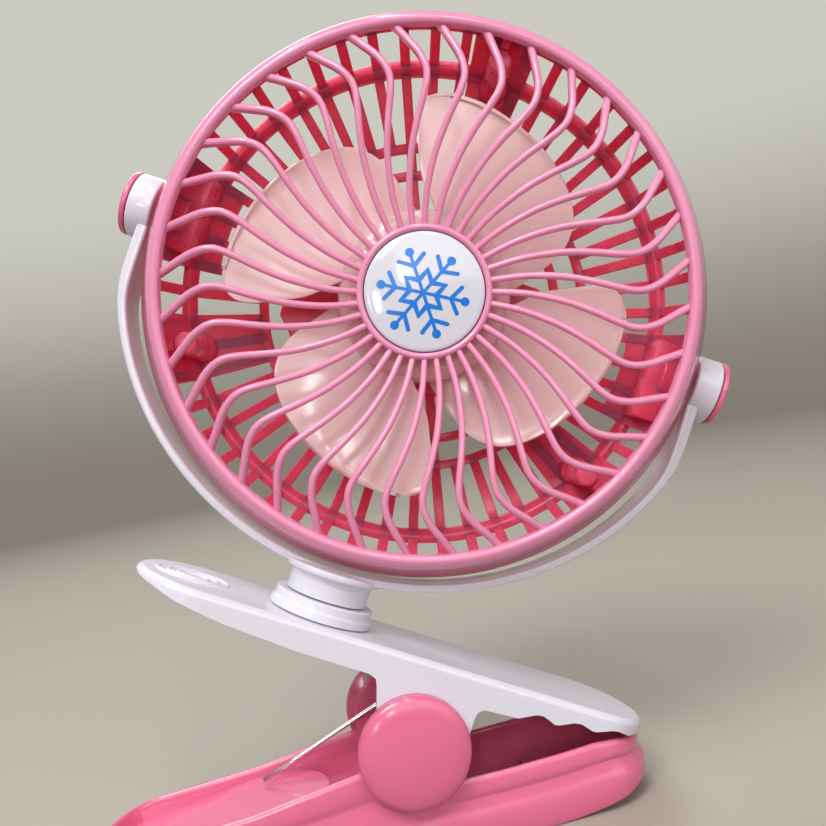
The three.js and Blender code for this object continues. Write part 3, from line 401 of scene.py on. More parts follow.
def aroundFan(bm, angle):      # turned about the fan's axis, degrees seen from the front
    return copied(bm, Matrix.Rotation(-angle * degree, 4, "Y"))


def combined(body, tool, operation="DIFFERENCE"):
    pair = []
    for bm in (body, tool):
        mesh = bpy.data.meshes.new("working")
        bm.to_mesh(mesh)
        bm.free()
        obj = bpy.data.objects.new("working", mesh)
        bpy.context.scene.collection.objects.link(obj)
        pair.append(obj)
    modifier = pair[0].modifiers.new("combine", "BOOLEAN")
    modifier.operation = operation
    modifier.solver = "EXACT"
    modifier.object = pair[1]
    result = bmesh.new()
    result.from_object(pair[0], bpy.context.evaluated_depsgraph_get())
    for obj in pair:
        bpy.data.meshes.remove(obj.data)
    return result


def placed(name, bm, place, material):
    bmesh.ops.transform(bm, matrix=place, verts=bm.verts[:])
    mesh = bpy.data.meshes.new(name)
    bm.to_mesh(mesh)
    bm.free()
    obj = bpy.data.objects.new(name, mesh)
    bpy.context.scene.collection.objects.link(obj)
    mesh.materials.append(material)
    mesh.shade_smooth()
    return obj


def finished(name, bm, place, material, body, replaced=(), sharp=35, bevel=0.0):
    obj = placed(name, bm, place, material)
    if bevel:
        rounded = obj.modifiers.new("edges", "BEVEL")
        rounded.width = bevel * mm
        rounded.segments = 3
        rounded.limit_method = "ANGLE"
        rounded.angle_limit = 40 * degree
        rounded.use_clamp_overlap = True
        obj.modifiers.new("shading", "WEIGHTED_NORMAL").keep_sharp = True
    else:
        obj.data.set_sharp_from_angle(angle=sharp * degree)
    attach(obj, body)
    if replaced:
        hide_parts(*replaced)


# Front guard
guard = {"rimInner": 73.3, "rimOuter": 77.5, "flare": 81.8, "front": -22.0, "seam": -9.15, "bars": 36,
         "sweep": 3.4, "barFrom": 1.75, "barTo": 2.15, "barDepth": 2.6, "badgeRadius": 17.0, "badgeFront": -17.6,
         "screwCircle": 69.5, "postRadius": 3.5}
screwAngles = [90, 210, 330]


def frontRim():
    g = guard
    outline = [(g["rimInner"], g["front"] + 3.3), (g["rimInner"] + 0.35, g["front"] + 0.6),
               (g["rimInner"] + 1.7, g["front"]), (g["rimOuter"] - 0.7, g["front"] + 0.9),
               (g["rimOuter"] + 0.1, g["front"] + 2.6), (g["flare"], g["seam"]), (g["flare"] - 2, g["seam"]),
               (g["rimOuter"] - 2.2, g["front"] + 5)]
    return turned(outline, steps=216, rounding=0.55, segments=4)


def guardBar():
    g = guard
    stops = [(g["badgeRadius"] + 1, 0, -16.7), (28, -1.6, -19.2), (38, -4.6, -21.6), (46, -7.5, -23.4),
             (53, -9.9, -24.45), (57.5, -10.8, -24.75), (61, -10.4, -24.55), (65, -8.7, -23.75),
             (g["rimInner"] - 3.6, -5.9, -22.2), (g["rimInner"] + 1.4, -g["sweep"], -19.9)]
    points = [(r * math.cos(a * degree), y, r * math.sin(a * degree)) for r, a, y in stops]
    route = smoothRoute(points, 6)
    crest = [(math.cos(a * degree), 1 - math.sin(a * degree)) for a in range(0, 181, 20)]
    stations = []
    for i, place in enumerate(route):
        share = i / (len(route) - 1)
        ahead = route[min(i + 1, len(route) - 1)] - route[max(i - 1, 0)]
        ahead.y = 0
        half = (g["barFrom"] + (g["barTo"] - g["barFrom"]) * share) / 2
        stations.append(station(place, ahead, (0, 1, 0), half, half))
    deep = g["barDepth"] / ((g["barFrom"] + g["barTo"]) / 4)
    section = crest + [(-0.95, deep - 0.3), (-0.7, deep), (0.7, deep), (0.95, deep - 0.3)]
    return swept(section, stations)


def buildFrontGuard():
    g = guard
    pitch = 360 / g["bars"]
    bar = guardBar()
    seatEdge = g["badgeRadius"] + 0.3
    seat = turned([(0, g["badgeFront"] + 4.6), (0, g["badgeFront"] + 3), (seatEdge, g["badgeFront"] + 3),
                   (seatEdge, g["badgeFront"] + 0.5), (seatEdge + 0.9, g["badgeFront"]),
                   (seatEdge + 1.8, g["badgeFront"] + 0.5), (seatEdge + 2, g["badgeFront"] + 4.6)],
                  steps=144, rounding=0.35, segments=4)
    finished("front_guard_rim", frontRim(), headFrame, rimPinkWithPaintedShade, "head", ["front_guard"], sharp=50)
    parts = [seat] + [aroundFan(bar, pitch / 2 + g["sweep"] + i * pitch) for i in range(g["bars"])]
    bar.free()
    finished("front_guard_moulding", merged(parts), headFrame, palePinkAbs, "head", ["front_guard"],
             sharp=50)
    lugs = []
    for angle in screwAngles:      # blind posts for the guard screws, each with a web to the rim's wall
        post = turned([(0, g["seam"] - 5), (0, g["seam"] - 4), (1.5, g["seam"] - 4), (1.5, g["seam"]),
                       (g["postRadius"], g["seam"]), (g["postRadius"] - 0.4, g["seam"] - 5)], steps=48, rounding=0.7)
        shifted(post, g["screwCircle"], 0, 0)
        web = plate([(g["screwCircle"] + 3.4, -1.2), (78.4, -1.2), (78.4, 1.2), (g["screwCircle"] + 3.4, 1.2)],
                    g["seam"] - 4.4, g["seam"])
        lugs += [aroundFan(post, angle), aroundFan(web, angle)]
    finished("front_guard_screw_lugs", merged(lugs), headFrame, deepPinkAbs, "head", sharp=50)


# Badge: a domed lacquered disc with a printed six-armed snowflake
badge = {"radius": 17.0, "dome": -18.5, "edge": -17.2, "back": -14.9, "turn": 6.5, "offset": (-0.2, -0.7),
         "inkLift": 0.03, "arm": 12.0, "dot": 1.28, "stroke": 1.2, "branchFrom": 7.9, "branchTo": (10.4, 3.7),
         "starOuter": 7.5, "starInner": 4.55}


def domeHeight(x, z):
    share = (x * x + z * z) / badge["radius"] ** 2
    return badge["dome"] + (badge["edge"] + 0.25 - badge["dome"]) * share


def buildBadge():
    rim = [(badge["radius"] * i / 12, domeHeight(badge["radius"] * i / 12, 0)) for i in range(12)]
    outline = [(0, badge["back"])] + rim + [(badge["radius"] - 0.3, badge["edge"]),
                                            (badge["radius"], badge["edge"] + 0.4), (badge["radius"], badge["back"])]
    finished("badge_disc", turned(outline, steps=128), headFrame, badgeLacquer, "head", ["hub_badge"],
             sharp=60)


def stroke(start, end, width):      # a flat bar with round ends
    (ax, az), (bx, bz) = start, end
    lean = math.atan2(bz - az, bx - ax) / degree
    return arc(end, width / 2, lean - 90, lean + 90, 10) + arc(start, width / 2, lean + 90, lean + 270, 10)


def spun(points, angle):
    c, s = math.cos(angle * degree), math.sin(angle * degree)
    return [(x * c - z * s, x * s + z * c) for x, z in points]


def inkPatch(outline, layer):
    bm = bmesh.new()
    dx, dz = badge["offset"]
    bm.faces.new([bm.verts.new((x + dx, 0, z + dz)) for x, z in outline])
    bmesh.ops.triangulate(bm, faces=bm.faces[:])
    long = [edge for edge in bm.edges if edge.calc_length() > 1.5]
    bmesh.ops.subdivide_edges(bm, edges=long, cuts=3, use_grid_fill=True)
    bmesh.ops.triangulate(bm, faces=bm.faces[:])
    lift = badge["inkLift"] + 0.004 * layer
    for vert in bm.verts:
        vert.co.y = domeHeight(vert.co.x, vert.co.z) - lift
    return bm


def buildSnowflake():
    b = badge
    patches = []
    for i in range(6):
        turn = b["turn"] + 60 * i
        arm = stroke((0.2, 0), (b["arm"], 0), b["stroke"] * 0.8)
        dot = arc((b["arm"], 0), b["dot"], 0, 345, 23)
        branches = [stroke((b["branchFrom"], 0), (b["branchTo"][0], side * b["branchTo"][1]), b["stroke"])
                    for side in (-1, 1)]
        ring = [(b["starInner"], 0), *spun([(b["starOuter"], 0)], 30), *spun([(b["starInner"], 0)], 60)]
        inner = [*spun([(b["starInner"] * 0.62, 0)], 60), *spun([(b["starOuter"] * 0.72, 0)], 30),
                 (b["starInner"] * 0.62, 0)]
        for layer, shape in enumerate([arm, dot, *branches, ring + inner]):
            patches.append(inkPatch(spun(shape, turn), layer + i % 2 * 5))
    bm = merged(patches)
    bmesh.ops.recalc_face_normals(bm, faces=bm.faces[:])
    for face in bm.faces:
        if face.normal.y > 0:
            face.normal_flip()
    finished("badge_snowflake_print", bm, headFrame, printedInk, "head")


# Impeller
fan = {"blades": 4, "tip": 58.6, "hub": 25.0, "front": -12.0, "back": 4.0, "turn": 18.2, "thick": 1.1,
       "edges": [(0.4, 2, 81), (0.56, 11, 90.5), (0.73, 18, 92.5), (0.83, 25.5, 93), (0.88, 33, 92.6),
                 (0.915, 42, 92), (0.942, 52, 91.1), (0.966, 62.5, 89.7), (0.985, 71.5, 87.8), (0.997, 79, 85),
                 (1, 82.6, 83)]}


def bladePoint(across, along):
    rows = fan["edges"]
    place = across * (len(rows) - 1)
    i = min(int(place), len(rows) - 2)
    part = place - i
    before, after = rows[max(i - 1, 0)], rows[min(i + 2, len(rows) - 1)]
    share, rear, front = [0.5 * (2 * b + (c - a) * part + (2 * a - 5 * b + 4 * c - d) * part ** 2
                                 + (3 * b - a - 3 * c + d) * part ** 3)
                          for a, b, c, d in zip(before, rows[i], rows[i + 1], after)]
    degrees = rear + (front - rear) * along
    lift = (13.5 - 6 * share) * max(0, (75 - degrees) / 73)
    camber = math.sin(along * math.pi) * 1.8
    angle = (fan["turn"] + degrees) * degree
    radius = share * fan["tip"]
    return Vector((radius * math.cos(angle), fan["front"] + 2.2 + lift + camber, radius * math.sin(angle)))


def bladeShell():
    bm = bmesh.new()
    acrossSteps, alongSteps = 56, 28
    bmesh.ops.create_grid(bm, x_segments=acrossSteps, y_segments=alongSteps, size=1)
    for vert in bm.verts:
        vert.co = bladePoint((vert.co.x + 1) / 2, (vert.co.y + 1) / 2)
    tip = [vert for vert in bm.verts if math.hypot(vert.co.x, vert.co.z) > fan["tip"] - 0.02]
    bmesh.ops.remove_doubles(bm, verts=tip, dist=0.6)
    cleaned(bm)
    if sum(face.normal.y for face in bm.faces) < 0:
        bmesh.ops.reverse_faces(bm, faces=bm.faces[:])
    bmesh.ops.solidify(bm, geom=bm.faces[:], thickness=fan["thick"])
    bmesh.ops.recalc_face_normals(bm, faces=bm.faces[:])
    rimEdges = [edge for edge in bm.edges if edge.calc_face_angle(0) > 1.2]
    return roundEdges(bm, rimEdges, 0.12, 2)


def buildImpeller():
    f = fan
    r, wall = f["hub"], 1.8
    hub = turned([(0, f["front"] + 0.1), (r - 3.4, f["front"] + 0.3), (r - 0.9, f["front"] + 1.5),
                  (r, f["front"] + 3.8), (r, f["back"]), (r - wall, f["back"]), (r - wall, f["front"] + 3),
                  (3.2, f["front"] + 2), (3.2, -9.2), (1.3, -9.2), (1.3, f["front"] + 2), (0, f["front"] + 2)],
                 steps=96, rounding=0.9, segments=4)
    blade = bladeShell()
    parts = [hub] + [aroundFan(blade, i * 360 / f["blades"]) for i in range(f["blades"])]
    blade.free()
    finished("impeller_moulding", merged(parts), headFrame, bladePolymer, "impeller", ["impeller"],
             sharp=45)


# Rear guard and electrics pod
rear = {"ribs": 52, "ribStart": 1.78, "ribWidth": 3.0, "wall": 2.0, "seam": -8.85, "seamRadius": 81.4,
        "corner": (74.1, 6.5), "turnIn": (72.5, 9.7), "outerRing": (51.0, 21.7), "innerRing": (42.5, 23.0),
        "windowTop": -5.6, "windowLow": 6.3, "slotOuter": 69.9, "pivotTurn": -1.68, "pivotHalf": 11.6}
pod = {"half": 42.0, "top": 16.0, "bottom": -26.0, "chamfer": 9.0, "front": 14.0, "seam": 26.0, "back": 40.0,
       "controlHeight": 8.6, "buttonRadius": 4.0, "socketX": 15.0, "socket": (8.0, 3.0), "lightX": -13.0,
       "lightRadius": 1.5, "screw": (34.5, -17.0), "screwHole": 2.8, "grommet": (22.5, 17.5), "motorSeat": 23.0,
       "gap": 0.3, "socketWall": 0.35}


def shellDepth(radius):      # the back plate's outer face, straight between its corners
    stops = [rear["turnIn"], rear["outerRing"], rear["innerRing"], (0, rear["innerRing"][1])]
    for (r0, y0), (r1, y1) in zip(stops, stops[1:]):
        if radius >= r1:
            return y0 + (y1 - y0) * (r0 - radius) / (r0 - r1)
    return stops[-1][1]


def sideRadius(y):
    (r1, y1), r0, y0 = rear["corner"], rear["seamRadius"], rear["seam"]
    return r0 + (r1 - r0) * (y - y0) / (y1 - y0)


def backRing(low, high, grow=0.0):
    t = rear["wall"]
    outline = [(high, shellDepth(high) + grow), (low, shellDepth(low) + grow),
               (low, shellDepth(low) - t - grow), (high, shellDepth(high) - t - grow)]
    return turned(outline, steps=156, rounding=0.4, segments=3)


def wallSection(top, low):      # section of the side wall between two depths
    t = rear["wall"]
    return [(sideRadius(top), top), (sideRadius(low), low), (sideRadius(low) - t, low), (sideRadius(top) - t, top)]


def cornerSection():
    low, r = rear["windowLow"], rear["slotOuter"]
    depth = shellDepth(r)
    edge = rear["corner"][0]
    return [(edge, low), (edge - 0.3, 7.6), rear["turnIn"], (r, depth), (r, depth - rear["wall"]), (edge - 2.5, low)]


def rib(path, width, depth):
    points = [Vector((r, y, 0)) for r, y in path]
    half = width / 2
    section = [(-half, 0.25), (-half + 0.25, 0), (half - 0.25, 0), (half, 0.25), (half, depth - 0.25),
               (half - 0.25, depth), (-half + 0.25, depth), (-half, depth - 0.25)]
    stations = []
    for i, place in enumerate(points):
        ahead = points[min(i + 1, len(points) - 1)] - points[max(i - 1, 0)]
        stations.append(station(place, ahead, Vector((0, 0, 1)).cross(ahead)))
    return swept(section, stations)


def overPod(radius, angle, margin):
    x, z = abs(radius * math.cos(angle * degree)), radius * math.sin(angle * degree)
    return x < pod["half"] + margin and pod["bottom"] - margin < z < pod["top"] + margin


def solidPatch(section, middle, halfTurn):
    return turned(section, steps=8, sweep=2 * halfTurn, start=-(middle + halfTurn))


def podOutline():
    x, top, low, c = pod["half"], pod["top"], pod["bottom"], pod["chamfer"]
    return [(-x + c, low), (x - c, low), (x, low + c), (x, top - c), (x - c, top), (-x + c, top),
            (-x, top - c), (-x, low + c)]


# A tray: the outline raised from its floor, its open end let in to leave a wall
def tray(floor, mouth, wall):
    bm = raised([(x, floor, z) for x, z in podOutline()], (0, mouth - floor, 0))
    open_ = [f for f in bm.faces if abs(f.calc_center_median().y - mouth) < 0.01][0]
    bmesh.ops.inset_region(bm, faces=[open_], thickness=wall, depth=0)
    inner = [f for f in bm.faces if abs(f.calc_center_median().y - mouth) < 0.01 and len(f.verts) == 8][0]
    pushed = bmesh.ops.extrude_discrete_faces(bm, faces=[inner])["faces"][0]
    bmesh.ops.translate(bm, verts=pushed.verts[:], vec=(0, floor - mouth + math.copysign(wall, mouth - floor), 0))
    cleaned(bm)
    outside = [e for e in bm.edges if e.calc_face_angle(0) > 0.5
               and any(abs(v.co.y - floor) < 0.01 for v in e.verts)]
    return roundEdges(bm, outside, 1.3 if mouth < floor else 0.6, 4)


def buildRearGuard():
    step = 360 / rear["ribs"]
    t = rear["wall"]
    parts = [turned(wallSection(rear["seam"], rear["windowTop"]), steps=208, rounding=0.4),
             turned(cornerSection(), steps=208, rounding=0.6),
             backRing(49.6, 52.4, 0.1), backRing(41.1, 43.9, 0.1)]
    outerRib = rib([(sideRadius(-7) - 0.1, -7), (sideRadius(5.6) - 0.1, 5.6), (72.9, 9.0), (68, shellDepth(68) - 0.1),
                    (52, shellDepth(52) - 0.1)], rear["ribWidth"], t - 0.2)
    innerRib = rib([(50.5, shellDepth(50.5) - 0.1), (42.5, shellDepth(42.5) - 0.1), (25, shellDepth(25) - 0.1)],
                   rear["ribWidth"], t - 0.2)
    for i in range(rear["ribs"]):
        angle = rear["ribStart"] + i * step
        parts.append(aroundFan(outerRib, angle))
        if i % 2 == 0 and not overPod(34, angle, 4):
            parts.append(aroundFan(innerRib, angle))
    outerRib.free()
    innerRib.free()
    fullWall = [(sideRadius(rear["seam"] + 0.2), rear["seam"] + 0.2), rear["corner"], rear["turnIn"],
                (rear["turnIn"][0] - 1.6, rear["turnIn"][1] - t),
                (rear["corner"][0] - t - 0.6, rear["corner"][1] - 0.8),
                (sideRadius(rear["seam"]) - t, rear["seam"] + 0.2)]
    for angle in screwAngles:
        r0 = guard["screwCircle"]
        parts.append(solidPatch(fullWall, angle, step))
        parts.append(solidPatch([(70.4, shellDepth(70.4)), (52, shellDepth(52)), (52, shellDepth(52) - t),
                                 (70.4, shellDepth(70.4) - t)], angle, step))
        r1, top = guard["postRadius"], shellDepth(r0) + 0.1
        post = turned([(1.5, rear["seam"]), (1.5, 7), (2.9, 7), (2.9, top), (r1 + 0.9, top), (r1 + 0.7, 5.5),
                       (r1, 4.5), (r1, rear["seam"])], steps=40, rounding=0.3)
        shifted(post, r0, 0, 0)
        web = plate([(r0 + 3, -1.2), (sideRadius(0), -1.2), (sideRadius(0), 1.2), (r0 + 3, 1.2)], -7.8, 6,
                    rounding=0.2)
        parts += [aroundFan(post, angle), aroundFan(web, angle)]
    for side in (0, 180):
        parts.append(solidPatch(fullWall, side + rear["pivotTurn"], rear["pivotHalf"]))
        parts.append(solidPatch([(72, shellDepth(72)), (64.6, shellDepth(64.6)), (64.6, shellDepth(64.6) - t),
                                 (72, shellDepth(72) - t)], side + rear["pivotTurn"], rear["pivotHalf"]))
        pad = turned([(2.3, 73), (2.3, 81.8), (7.6, 81.8), (7.6, 73)], axis="X", steps=48, rounding=0.8)
        block = plate([(69.2, -11.8), (78.4, -11.8), (78.4, 11.8), (69.2, 11.8)], -5.6, 7.4, rounding=0.7, segments=4)
        parts += [aroundFan(pad, side), aroundFan(block, side + rear["pivotTurn"])]
    parts.append(tray(pod["front"], pod["seam"] - 0.15, 2))
    seat = turned([(4, pod["front"] + 0.5), (4, pod["front"] + 3), (pod["motorSeat"], pod["front"] + 6),
                   (pod["motorSeat"], pod["front"])], steps=64, rounding=0.4)
    parts.append(seat)
    finished("rear_guard_moulding", merged(parts), headFrame, deepPinkAbs, "head", ["rear_guard"],
             sharp=40)


def slotOutline(size, radius):      # round ended, about the middle of its length and height
    reach = (size[0] - size[1]) / 2
    return arc((reach, 0), radius, -90, 90, 10) + arc((-reach, 0), radius, 90, 270, 10)


def buildPodCover():
    p = pod
    cover = tray(p["back"], p["seam"] + 0.15, 2)
    holes = [turned([(0, p["back"] - 3), (0, p["back"] + 1), (r, p["back"] + 1), (r, p["back"] - 3)], steps=40)
             for r in (p["buttonRadius"] + p["gap"], p["lightRadius"] + p["gap"], p["screwHole"], p["screwHole"])]
    places = [(0, p["controlHeight"]), (p["lightX"], p["controlHeight"]), p["screw"], (-p["screw"][0], p["screw"][1])]
    for hole, (x, z) in zip(holes, places):
        shifted(hole, x, 0, z)
    slot = plate([(x + p["socketX"], z + p["controlHeight"]) for x, z in
                  slotOutline(p["socket"], p["socket"][1] / 2 + p["gap"])], p["back"] - 3, p["back"] + 1)
    finished("pod_cover_moulding", combined(cover, merged([*holes, slot])), headFrame, deepPinkAbs, "head",
             ["pod_cover"], bevel=0.25)


# Screws: a pan head with a cross recess
def screwHead(radius, height):
    head = turned([(0, -0.4), (radius, -0.4), (radius, -height * 0.35), (radius * 0.55, -height * 0.9), (0, -height),
                   ][::-1], steps=40, rounding=0.2)
    shifted(head, 0, height, 0)
    arm, wide = radius * 0.55, radius * 0.13
    cross = [(arm, -wide), (arm, wide), (wide, wide), (wide, arm), (-wide, arm), (-wide, wide), (-arm, wide),
             (-arm, -wide), (-wide, -wide), (-wide, -arm), (wide, -arm), (wide, -wide)]
    return combined(head, plate(cross, height * 0.45, height * 3))


def buildScrews():
    places = [(f"guard_screw_{i + 1}", guard["screwCircle"], angle, 7.4, 2.6) for i, angle in enumerate(screwAngles)]
    for name, radius, angle, seat, size in places:
        head = screwHead(size, 1.7)
        shifted(head, radius, seat, 0)
        shank = turned([(0, seat - 20), (0, seat), (1.2, seat), (1.2, seat - 19.4), (0.6, seat - 20)], steps=20)
        shifted(shank, radius, 0, 0)
        turnedHead = [aroundFan(part, angle) for part in (head, shank)]
        head.free()
        shank.free()
        finished(name + "_turned", merged(turnedHead), headFrame, zincSteel, "head", [name], sharp=40)
    for name, side in (("cover_screw_left", -1), ("cover_screw_right", 1)):
        head = screwHead(2.5, 1.5)
        shank = turned([(0, -18), (0, 0.4), (1.1, 0.4), (1.1, -17.4), (0.5, -18)], steps=20)
        both = merged([head, shank])
        shifted(both, side * pod["screw"][0], pod["back"] - 2.1, pod["screw"][1])
        finished(name + "_turned", both, headFrame, zincSteel, "head", [name], sharp=40)


# Button, socket, light and grommet on the pod
def buildControls():
    p = pod
    back, z = p["back"], p["controlHeight"]
    cap = turned([(0, back - 3.4), (p["buttonRadius"] + 0.9, back - 3.4), (p["buttonRadius"] + 0.9, back - 2.3),
                  (p["buttonRadius"], back - 2.3), (p["buttonRadius"], back + 1.2), (p["buttonRadius"] - 1, back + 1.8),
                  (p["buttonRadius"] - 1.9, back + 1.5), (0, back + 1.25)], steps=64, rounding=0.3, segments=4)
    stem = turned([(0, back - 4.5), (1.6, back - 4.5), (1.6, back - 3), (0, back - 3)], steps=24)
    button = merged([cap, stem])
    shifted(button, 0, 0, z)
    finished("power_button_cap", button, headFrame, whiteAbs, "power_button", ["power_button"], sharp=45)
    outside = p["socket"][1] / 2
    shell = combined(plate(slotOutline(p["socket"], outside), back - 5.7, back - 0.2),
                     plate(slotOutline(p["socket"], outside - p["socketWall"]), back - 5.2, back + 1))
    tongue = plate([(-2.4, -0.3), (2.4, -0.3), (2.4, 0.3), (-2.4, 0.3)], back - 5.3, back - 1, rounding=0.1)
    socket = merged([shell, tongue])
    shifted(socket, p["socketX"], 0, z)
    finished("usb_socket_shell", socket, headFrame, nickelSteel, "head", ["usb_socket"], sharp=40)
    lens = turned([(0, back - 5.7), (p["lightRadius"], back - 5.7), (p["lightRadius"], back + 0.1),
                   (p["lightRadius"] * 0.6, back + 0.3), (0, back + 0.35)], steps=32, rounding=0.2)
    shifted(lens, p["lightX"], 0, z)
    finished("light_pipe_lens", lens, headFrame, frostedGuide, "head", ["light_pipe"], sharp=45)
    grommet = turned([(1.2, p["front"] - 1.7), (1.2, p["front"] + 3), (2.2, p["front"] + 3), (2.2, p["front"] - 0.3),
                      (3.4, p["front"] - 0.3), (3.4, p["front"] - 1.1), (2.6, p["front"] - 1.8)],
                     steps=48, rounding=0.25, segments=4)
    shifted(grommet, p["grommet"][0], 0, p["grommet"][1])
    finished("wire_grommet_moulding", grommet, headFrame, blackRubber, "head", ["wire_grommet"])


# Yoke, knobs and neck
arms = {"inner": 83.2, "sideRoom": 4.1, "thick": 2.6, "armThick": 3.5, "ease": 1.6, "half": 7.0,
        "knobInner": 82.8, "knobRadius": 9.5, "knobOuter": 90.2, "neckRadius": 12.0, "neckBottom": 92.3,
        "collarRadius": 14.6, "plateTop": 97.9, "capThick": 1.7, "capRadius": 9.5}


def yokeBand():
    a = arms

    def bow(limit, wide, deep, start, end):      # an ellipse whose sides ease into straight arms
        points = []
        for x, z in arc((0, 0), (wide, deep), start, end, 150):
            reach = (abs(x) + limit - math.hypot(abs(x) - limit, a["ease"])) / 2
            points.append((math.copysign(reach, x), z))
        return points

    wide, deep = a["inner"] + a["sideRoom"], a["inner"]
    outline = bow(a["knobInner"], wide, deep, 0, -180)
    outline += bow(a["knobInner"] + a["armThick"], wide + a["thick"], deep + a["thick"], -180, 0)
    return plate(outline, -a["half"], a["half"], rounding=0.95, segments=4)


def buildYoke():
    a = arms
    knob = turned([(5.2, a["knobOuter"]), (a["knobRadius"], a["knobOuter"]), (a["knobRadius"], a["knobInner"]),
                   (2.4, a["knobInner"]), (2.4, a["knobOuter"] - 4.4), (5.2, a["knobOuter"] - 4.4)],
                  axis="X", steps=72, rounding=0.7, segments=4)
    neck = turned([(0, -a["neckBottom"]), (a["neckRadius"], -a["neckBottom"]), (a["neckRadius"], -a["inner"] - 4.4),
                   (a["neckRadius"] + 0.7, -a["inner"] - 3.2), (a["neckRadius"] + 2.4, -a["inner"] - 2.3),
                   (a["neckRadius"] + 2.4, -a["inner"] - 0.6), (0, -a["inner"] - 0.6)],
                  axis="Z", steps=72, rounding=0.4)
    spigot = turned([(1.6, -100.5), (6, -100.5), (6, -a["neckBottom"] + 1), (1.6, -a["neckBottom"] + 1)],
                    axis="Z", steps=48, rounding=0.2)
    parts = [yokeBand(), neck, spigot, knob, copied(knob, mirrorX)]
    finished("yoke_moulding", merged(parts), yokeFrame, whiteAbs, "yoke", ["yoke"], sharp=40)
    for name, side in (("left", -1), ("right", 1)):
        face = a["knobOuter"] + 0.3
        cap = turned([(0, face), (a["capRadius"], face), (a["capRadius"], face + a["capThick"] - 0.5),
                      (a["capRadius"] - 0.7, face + a["capThick"]), (0, face + a["capThick"] + 0.15)],
                     axis="X", steps=72, rounding=0.3, segments=4)
        plug = turned([(0, face - 1.4), (4.7, face - 1.4), (4.7, face + 0.3), (0, face + 0.3)], axis="X", steps=36)
        both = merged([cap, plug])
        if side < 0:
            mirrored = copied(both, mirrorX)
            both.free()
            both = mirrored
        finished(f"pivot_cap_{name}_disc", both, yokeFrame, clipPinkAbs, "yoke", [f"pivot_cap_{name}"],
                 sharp=45)


def buildCollar():
    low, top, r = -arms["plateTop"] + 0.3, -92.6, arms["collarRadius"]
    outline = [(6.3, low), (r + 0.6, low), (r + 0.6, low + 2.2), (r + 0.2, low + 2.35), (r + 0.2, low + 2.55),
               (r, low + 2.7), (r, top - 0.2), (r - 0.5, top), (6.3, top)]
    finished("swivel_collar_moulding", turned(outline, axis="Z", steps=96, rounding=0.12), upperFrame, whiteAbs,
             "upper_jaw", ["swivel_collar"], sharp=45)


# Upper jaw
upper = {"half": 20.0, "nose": 102.0, "noseRound": 16.0, "handle": -54.0, "top": -97.9, "under": -100.4, "wall": 2.0,
         "skirt": 8.0, "jawDepth": 8.1, "noseLift": 3.7, "firstTooth": 60.0, "lastTooth": 94.0, "tooth": 1.8,
         "pin": (34.4, -122.1), "earRadius": 12.0, "earFront": 13.6, "topRounding": 2.0,
         "handleTaper": [(0, 1.4), (2, 2.1), (7.6, 2.9), (14.6, 4.4), (28, 6.4), (50, 7.8)]}


def pinBore(pin, reach):
    radius = 2.3      # a loose fit on the 2 mm pin
    return shifted(turned([(0, -reach), (radius, -reach), (radius, reach), (0, reach)], steps=32), pin[0], 0, pin[1])


def upperPlan(inset):
    u = upper
    half, nose, corner, handle = u["half"] - inset, u["nose"] - inset, u["noseRound"] - inset, u["handle"] + inset
    return arc((nose - corner, 0), (corner, half), -90, 90, 40) + arc((handle + half, 0), half, 90, 270, 48)


def toothLine(x):
    u = upper
    share = (x - u["firstTooth"]) / (u["lastTooth"] - u["firstTooth"])
    return u["top"] - u["jawDepth"] + u["noseLift"] * share


def upperSide():
    u = upper
    skirt = u["top"] - u["skirt"]
    px, pz = u["pin"]
    rearFoot, frontFoot = px - u["earRadius"] - 3.4, px + u["earFront"]
    outline = [(u["handle"], u["top"] + 3)]
    outline += [(u["handle"] + along, u["top"] - deep) for along, deep in u["handleTaper"]]
    outline += [(rearFoot - 3, skirt), (rearFoot - 0.8, skirt - 0.8), (rearFoot, skirt - 2.4)]
    outline += arc((px, pz), u["earRadius"], 167.4, 360, 40)
    outline += [(frontFoot, pz + 3.6), (frontFoot, skirt - 3.4), (frontFoot + 0.5, skirt - 1.7),
                (frontFoot + 1.6, skirt - 0.8), (frontFoot + 3.2, skirt - 0.5)]
    pitch = (u["lastTooth"] - u["firstTooth"]) / 3
    outline += [(u["firstTooth"], toothLine(u["firstTooth"]))]
    for i in range(3):
        for along, high in ((0.42, 1), (0.6, 1), (0.94, 0), (1.04, 0)):
            x = u["firstTooth"] + (i + along) * pitch
            outline.append((x, toothLine(x) + high * u["tooth"] * (1 - 0.2 * i)))
    return outline + [(u["nose"], u["top"] - 2.6), (u["nose"], u["top"] + 3)]


def gripPad():
    u = upper
    middle = u["handle"] + 16
    rings = []
    for share in (1, 0.7, 0.42):
        r = 8 * share
        ring = turned([(r - 0.9, u["top"] - 0.5), (r + 0.9, u["top"] - 0.5), (r + 0.3, u["top"] + 0.35),
                       (r - 0.3, u["top"] + 0.35)], axis="Z", steps=96, rounding=0.2)
        bmesh.ops.transform(ring, matrix=Matrix.Translation((middle, 0, 0)) @ Matrix.Diagonal((1.3, 1, 1, 1)),
                            verts=ring.verts[:])
        rings.append(ring)
    return rings


